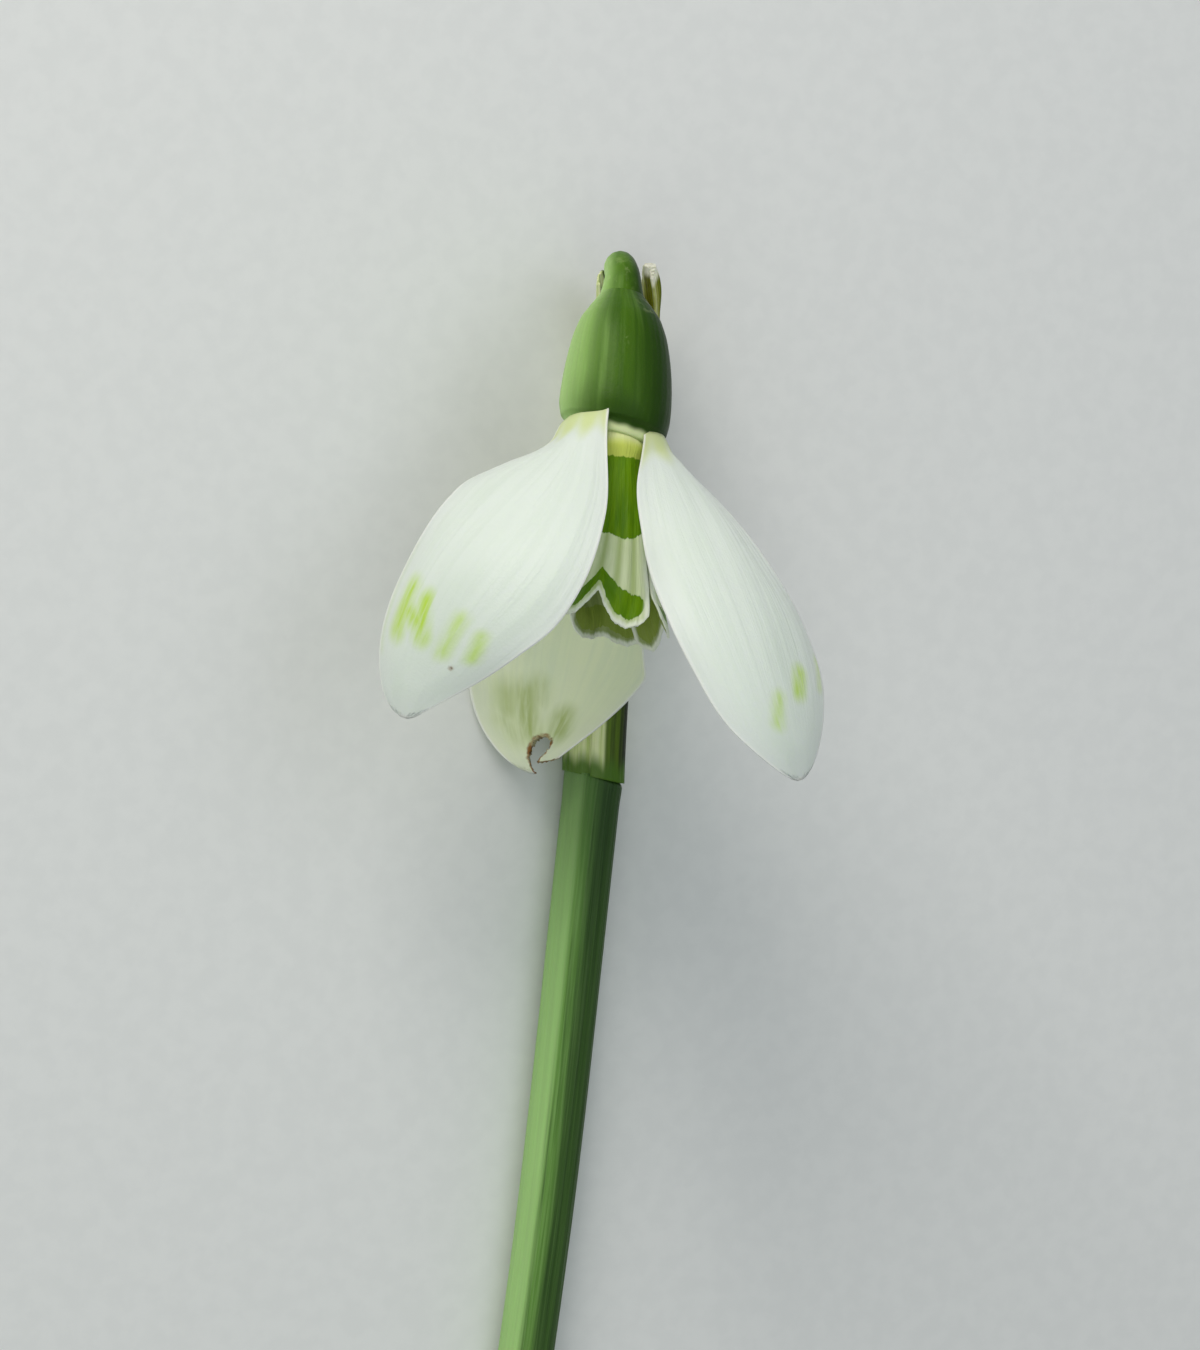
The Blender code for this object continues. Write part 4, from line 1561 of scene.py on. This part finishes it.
@dataclass
class Flower:
    """The hanging flower: three large petals over three short marked ones.

    inner_widths are a short petal's half widths from root to tip. block and chevron are its marks.
    """

    left: PetalShape = PetalShape(
        whorl=Whorl.OUTER, azimuth=131.0, rise=34.0, swing=12.5, reach=10.0,
        pull=(-11.3, -7.2, 10.0), tip=(-12.2, -17.3, 7.3), face=(-0.45, 0.37, 0.81),
        left=(2.2, 2.6, 4.9, 4.55, 4.15, 3.85, 3.8, 3.9),
        right=(1.6, 3.0, 5.15, 6.8, 7.25, 6.45, 5.0, 2.5), cup=(6.0, 18.0, 13.0, 5.5), fringe=0.001,
        settled=0.2, root_radius=2.7,
    )
    right: PetalShape = PetalShape(
        whorl=Whorl.OUTER, azimuth=14.0, rise=52.0, swing=12.0, reach=4.6,
        pull=(9.8, -9.5, 10.8), tip=(10.9, -20.9, 9.0), face=(0.64, 0.27, 0.72),
        left=(2.0, 4.2, 5.3, 6.1, 6.2, 5.8, 5.05, 3.0),
        right=(1.5, 1.7, 1.95, 2.6, 4.0, 4.2, 3.7, 2.85), cup=(4.0, 8.0, 8.5, 8.2), fringe=0.0008,
        settled=0.35, root_radius=2.7,
    )
    back: PetalShape = PetalShape(
        whorl=Whorl.OUTER, azimuth=-106.0, rise=46.0, swing=1.0, reach=8.4,
        pull=(-3.8, -12.4, -11.0), tip=(-4.7, -20.9, -9.6), face=(0.27, 0.24, -0.93),
        left=(1.5, 2.6, 5.0, 8.2, 9.2, 7.4, 4.8, 1.2),
        right=(1.5, 2.4, 3.9, 4.7, 4.8, 5.1, 4.9, 4.1), cup=(2.5, 6.0, 10.5, 9.0), fringe=0.0008,
    )
    inner_widths: tuple[float, ...] = (1.3, 1.45, 1.6, 1.75, 1.95, 2.3, 2.7, 2.75)
    block: Band = Band(((0.24, 0.1), (0.39, 0.1)), (2.2, 2.2))
    chevron: Band = Band(
        ((0.93, -0.9), (0.915, -0.5), (0.885, -0.17), (0.885, 0.2), (0.895, 0.6)),
        (0.46, 0.55, 0.68, 0.9, 0.8),
    )

    def inner(self, azimuth: float, rise: float, root_radius: float = 1.75, **own: Any) -> PetalShape:
        """Returns the shape of a short petal, which shares its widths and cupping with the others.

        Args:
            azimuth: Where its root stands round the axis, in degrees.
            rise: How far it leans out from the axis, in degrees.
            root_radius: How far its root stands from the axis, in millimetres.
            own: The fields of PetalShape that are this petal's own.

        Returns:
            The shape.
        """
        return PetalShape(
            whorl=Whorl.INNER, azimuth=azimuth, rise=rise, swing=0.0, reach=4.0,
            left=self.inner_widths, right=self.inner_widths, cup=(1.8, 2.0, 2.4, 3.8),
            narrowing=0.0, corner=0.1, fringe=0.003, root_radius=root_radius, joined_height=0.65, **own,
        )

    def build(self) -> list[bpy.types.Object]:
        """Makes the six petals."""
        left_streaks = (
            Streak((0.69, -0.54), (0.8, -0.54), 0.5, 1.0, 0.7),
            Streak((0.7, -0.14), (0.785, 0.03), 0.5, 1.0, 0.6),
            Streak((0.745, -0.4), (0.76, -0.08), 0.5, 1.0, 0.7),
            Streak((0.7, 0.34), (0.8, 0.35), 0.34, 0.8, 0.7),
            Streak((0.715, 0.61), (0.785, 0.68), 0.3, 0.85, 0.6),
            Streak((0.6, -1.0), (0.86, -0.92), 0.1, 0.35),
        )
        right_streaks = (
            Streak((0.8, -0.17), (0.86, -0.31), 0.24, 0.85, 0.6),
            Streak((0.745, 0.33), (0.79, 0.23), 0.44, 1.0, 0.6),
            Streak((0.7, 0.95), (0.78, 0.86), 0.2, 0.6),
        )
        back_streaks = (
            Streak((0.78, 0.25), (0.89, 0.2), 0.6, 0.85, 0.9),
            Streak((0.79, 0.5), (0.83, 0.5), 0.7, 0.6, 1.0),
            Streak((0.76, 0.06), (0.79, 0.06), 0.5, 0.6, 0.9),
            Streak((0.84, -0.31), (0.88, -0.36), 0.6, 0.8, 0.8),
            Streak((0.86, 0.6), (0.9, 0.5), 0.5, 0.5, 0.9),
        )
        petals: list[OuterPetal | InnerPetal] = [
            OuterPetal(
                "outer_tepal_left", self.left, PETAL_WHITE, left_streaks, speck=(0.832, 0.55), seed=0.4
            ),
            OuterPetal("outer_tepal_right", self.right, PETAL_WHITE, right_streaks, seed=2.0),
            BittenPetal("outer_tepal_back", self.back, PETAL_SHADED, back_streaks, seed=3.4),
        ]
        short = {
            "inner_tepal_front": self.inner(
                80.0, 8.0, pull=(0.3, -7.0, 4.2), tip=(-0.9, -11.9, 5.9), face=(-0.12, 0.28, 0.94),
                root_radius=2.15, notch=0.17, notch_at=-0.15,
            ),
            "inner_tepal_left": self.inner(
                203.0, 6.0, pull=(-1.2, -7.3, -0.3), tip=(-0.3, -13.9, -0.7), face=(-0.55, 0.05, -0.83),
                notch=0.04, slope=0.14,
            ),
            "inner_tepal_right": self.inner(
                -37.0, 6.0, pull=(2.35, -7.2, 0.9), tip=(2.95, -13.2, 2.3), face=(0.93, 0.1, -0.3),
                notch=0.12,
            ),
        }
        for seed, (name, shape) in enumerate(short.items()):
            petals.append(InnerPetal(name, shape, self.block, self.chevron, float(seed)))
        return [petal.build() for petal in petals]


# ---------------------------------------------------------------- floor, light and camera


def box_as_lists() -> list[list[float]]:
    """Returns the shown object's lowest and highest corner."""
    return [[float(value) for value in corner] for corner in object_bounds()]


@dataclass
class Studio:
    """The plain pale table, the soft light and the camera that looks down on the flower.

    The lamps and the camera are placed in the flower's frame, in millimetres, and laid down with it.
    table_size and clip_start are in metres.
    """

    aim: tuple[float, float, float] = (-0.78, -14.82, 0.0)
    camera_distance: float = 300.0
    lens: float = 133.3
    sensor: float = 36.0
    table_size: float = 3.0
    clip_start: float = 0.01
    sky: str = "#dfe4e8"
    sky_strength: float = 0.33

    def table(self) -> None:
        """Makes the table top, just under the flower's lowest point."""
        lowest = box_as_lists()[0][2]
        work = bmesh.new()
        bmesh.ops.create_grid(work, x_segments=1, y_segments=1, size=self.table_size)
        bmesh.ops.translate(work, vec=(0.0, 0.0, lowest), verts=work.verts)
        mesh = bpy.data.meshes.new("table_top")
        work.to_mesh(mesh)
        work.free()
        mesh.materials.append(PALE_BOARD.build())
        table = bpy.data.objects.new("table_top", mesh)
        bpy.context.scene.collection.objects.link(table)
        table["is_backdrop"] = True

    def lamp(
        self, name: str, place: tuple[float, float, float], size: float, watts: float, tint: str
    ) -> None:
        """Adds a square lamp that faces the flower.

        Args:
            name: The lamp's name.
            place: Where it stands, in the flower's frame.
            size: Its side, in millimetres.
            watts: Its power.
            tint: Its colour.
        """
        light = bpy.data.lights.new(name, "AREA")
        light.shape = "SQUARE"
        light.size = size * MM
        light.energy = watts
        light.color = linear(tint)[:3]
        lamp = bpy.data.objects.new(name, light)
        turn = (Vector(place) - Vector(self.aim)).to_track_quat("Z", "Y").to_matrix().to_4x4()
        turn.translation = Vector(place) * MM
        lamp.matrix_world = POSE.matrix() @ turn
        bpy.context.scene.collection.objects.link(lamp)

    def light(self) -> None:
        """Adds the lamps and the pale sky."""
        self.lamp("key_light", (-80.0, 270.0, 240.0), 200.0, 0.85, "#fffaf2")
        self.lamp("fill_light", (220.0, 80.0, 260.0), 240.0, 0.2, "#f2f6ff")
        self.lamp("front_light", (-20.0, -140.0, 320.0), 240.0, 0.19, "#f6fff2")
        world = bpy.data.worlds.new("soft_room")
        bpy.context.scene.world = world
        world.use_nodes = True
        background = world.node_tree.nodes["Background"]
        background.inputs["Color"].default_value = linear(self.sky)
        background.inputs["Strength"].default_value = self.sky_strength

    def camera(self) -> None:
        """Adds the camera, square on to the flower's own frame."""
        lens = bpy.data.cameras.new("camera")
        lens.lens = self.lens
        lens.sensor_width = self.sensor
        lens.clip_start = self.clip_start
        camera = bpy.data.objects.new("camera", lens)
        place = Vector((self.aim[0], self.aim[1], self.camera_distance)) * MM
        camera.matrix_world = POSE.matrix() @ Matrix.Translation(place)
        bpy.context.scene.collection.objects.link(camera)
        bpy.context.scene.camera = camera

    def build(self) -> None:
        """Sets up the studio."""
        self.table()
        self.light()
        self.camera()
        bpy.context.scene.view_settings.view_transform = "Standard"


def main() -> None:
    """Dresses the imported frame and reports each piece."""
    logging.basicConfig(level=logging.INFO, format="%(name)s: %(message)s")
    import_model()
    pieces = Flower().build()
    pieces += [Ovary().build(), FlowerStalk().build(), *Stamens().build()]
    pieces += [Stem().build(), Sheath().build()]
    Studio().build()
    LOG.info("%d pieces", len(pieces))


if __name__ == "__main__":
    main()
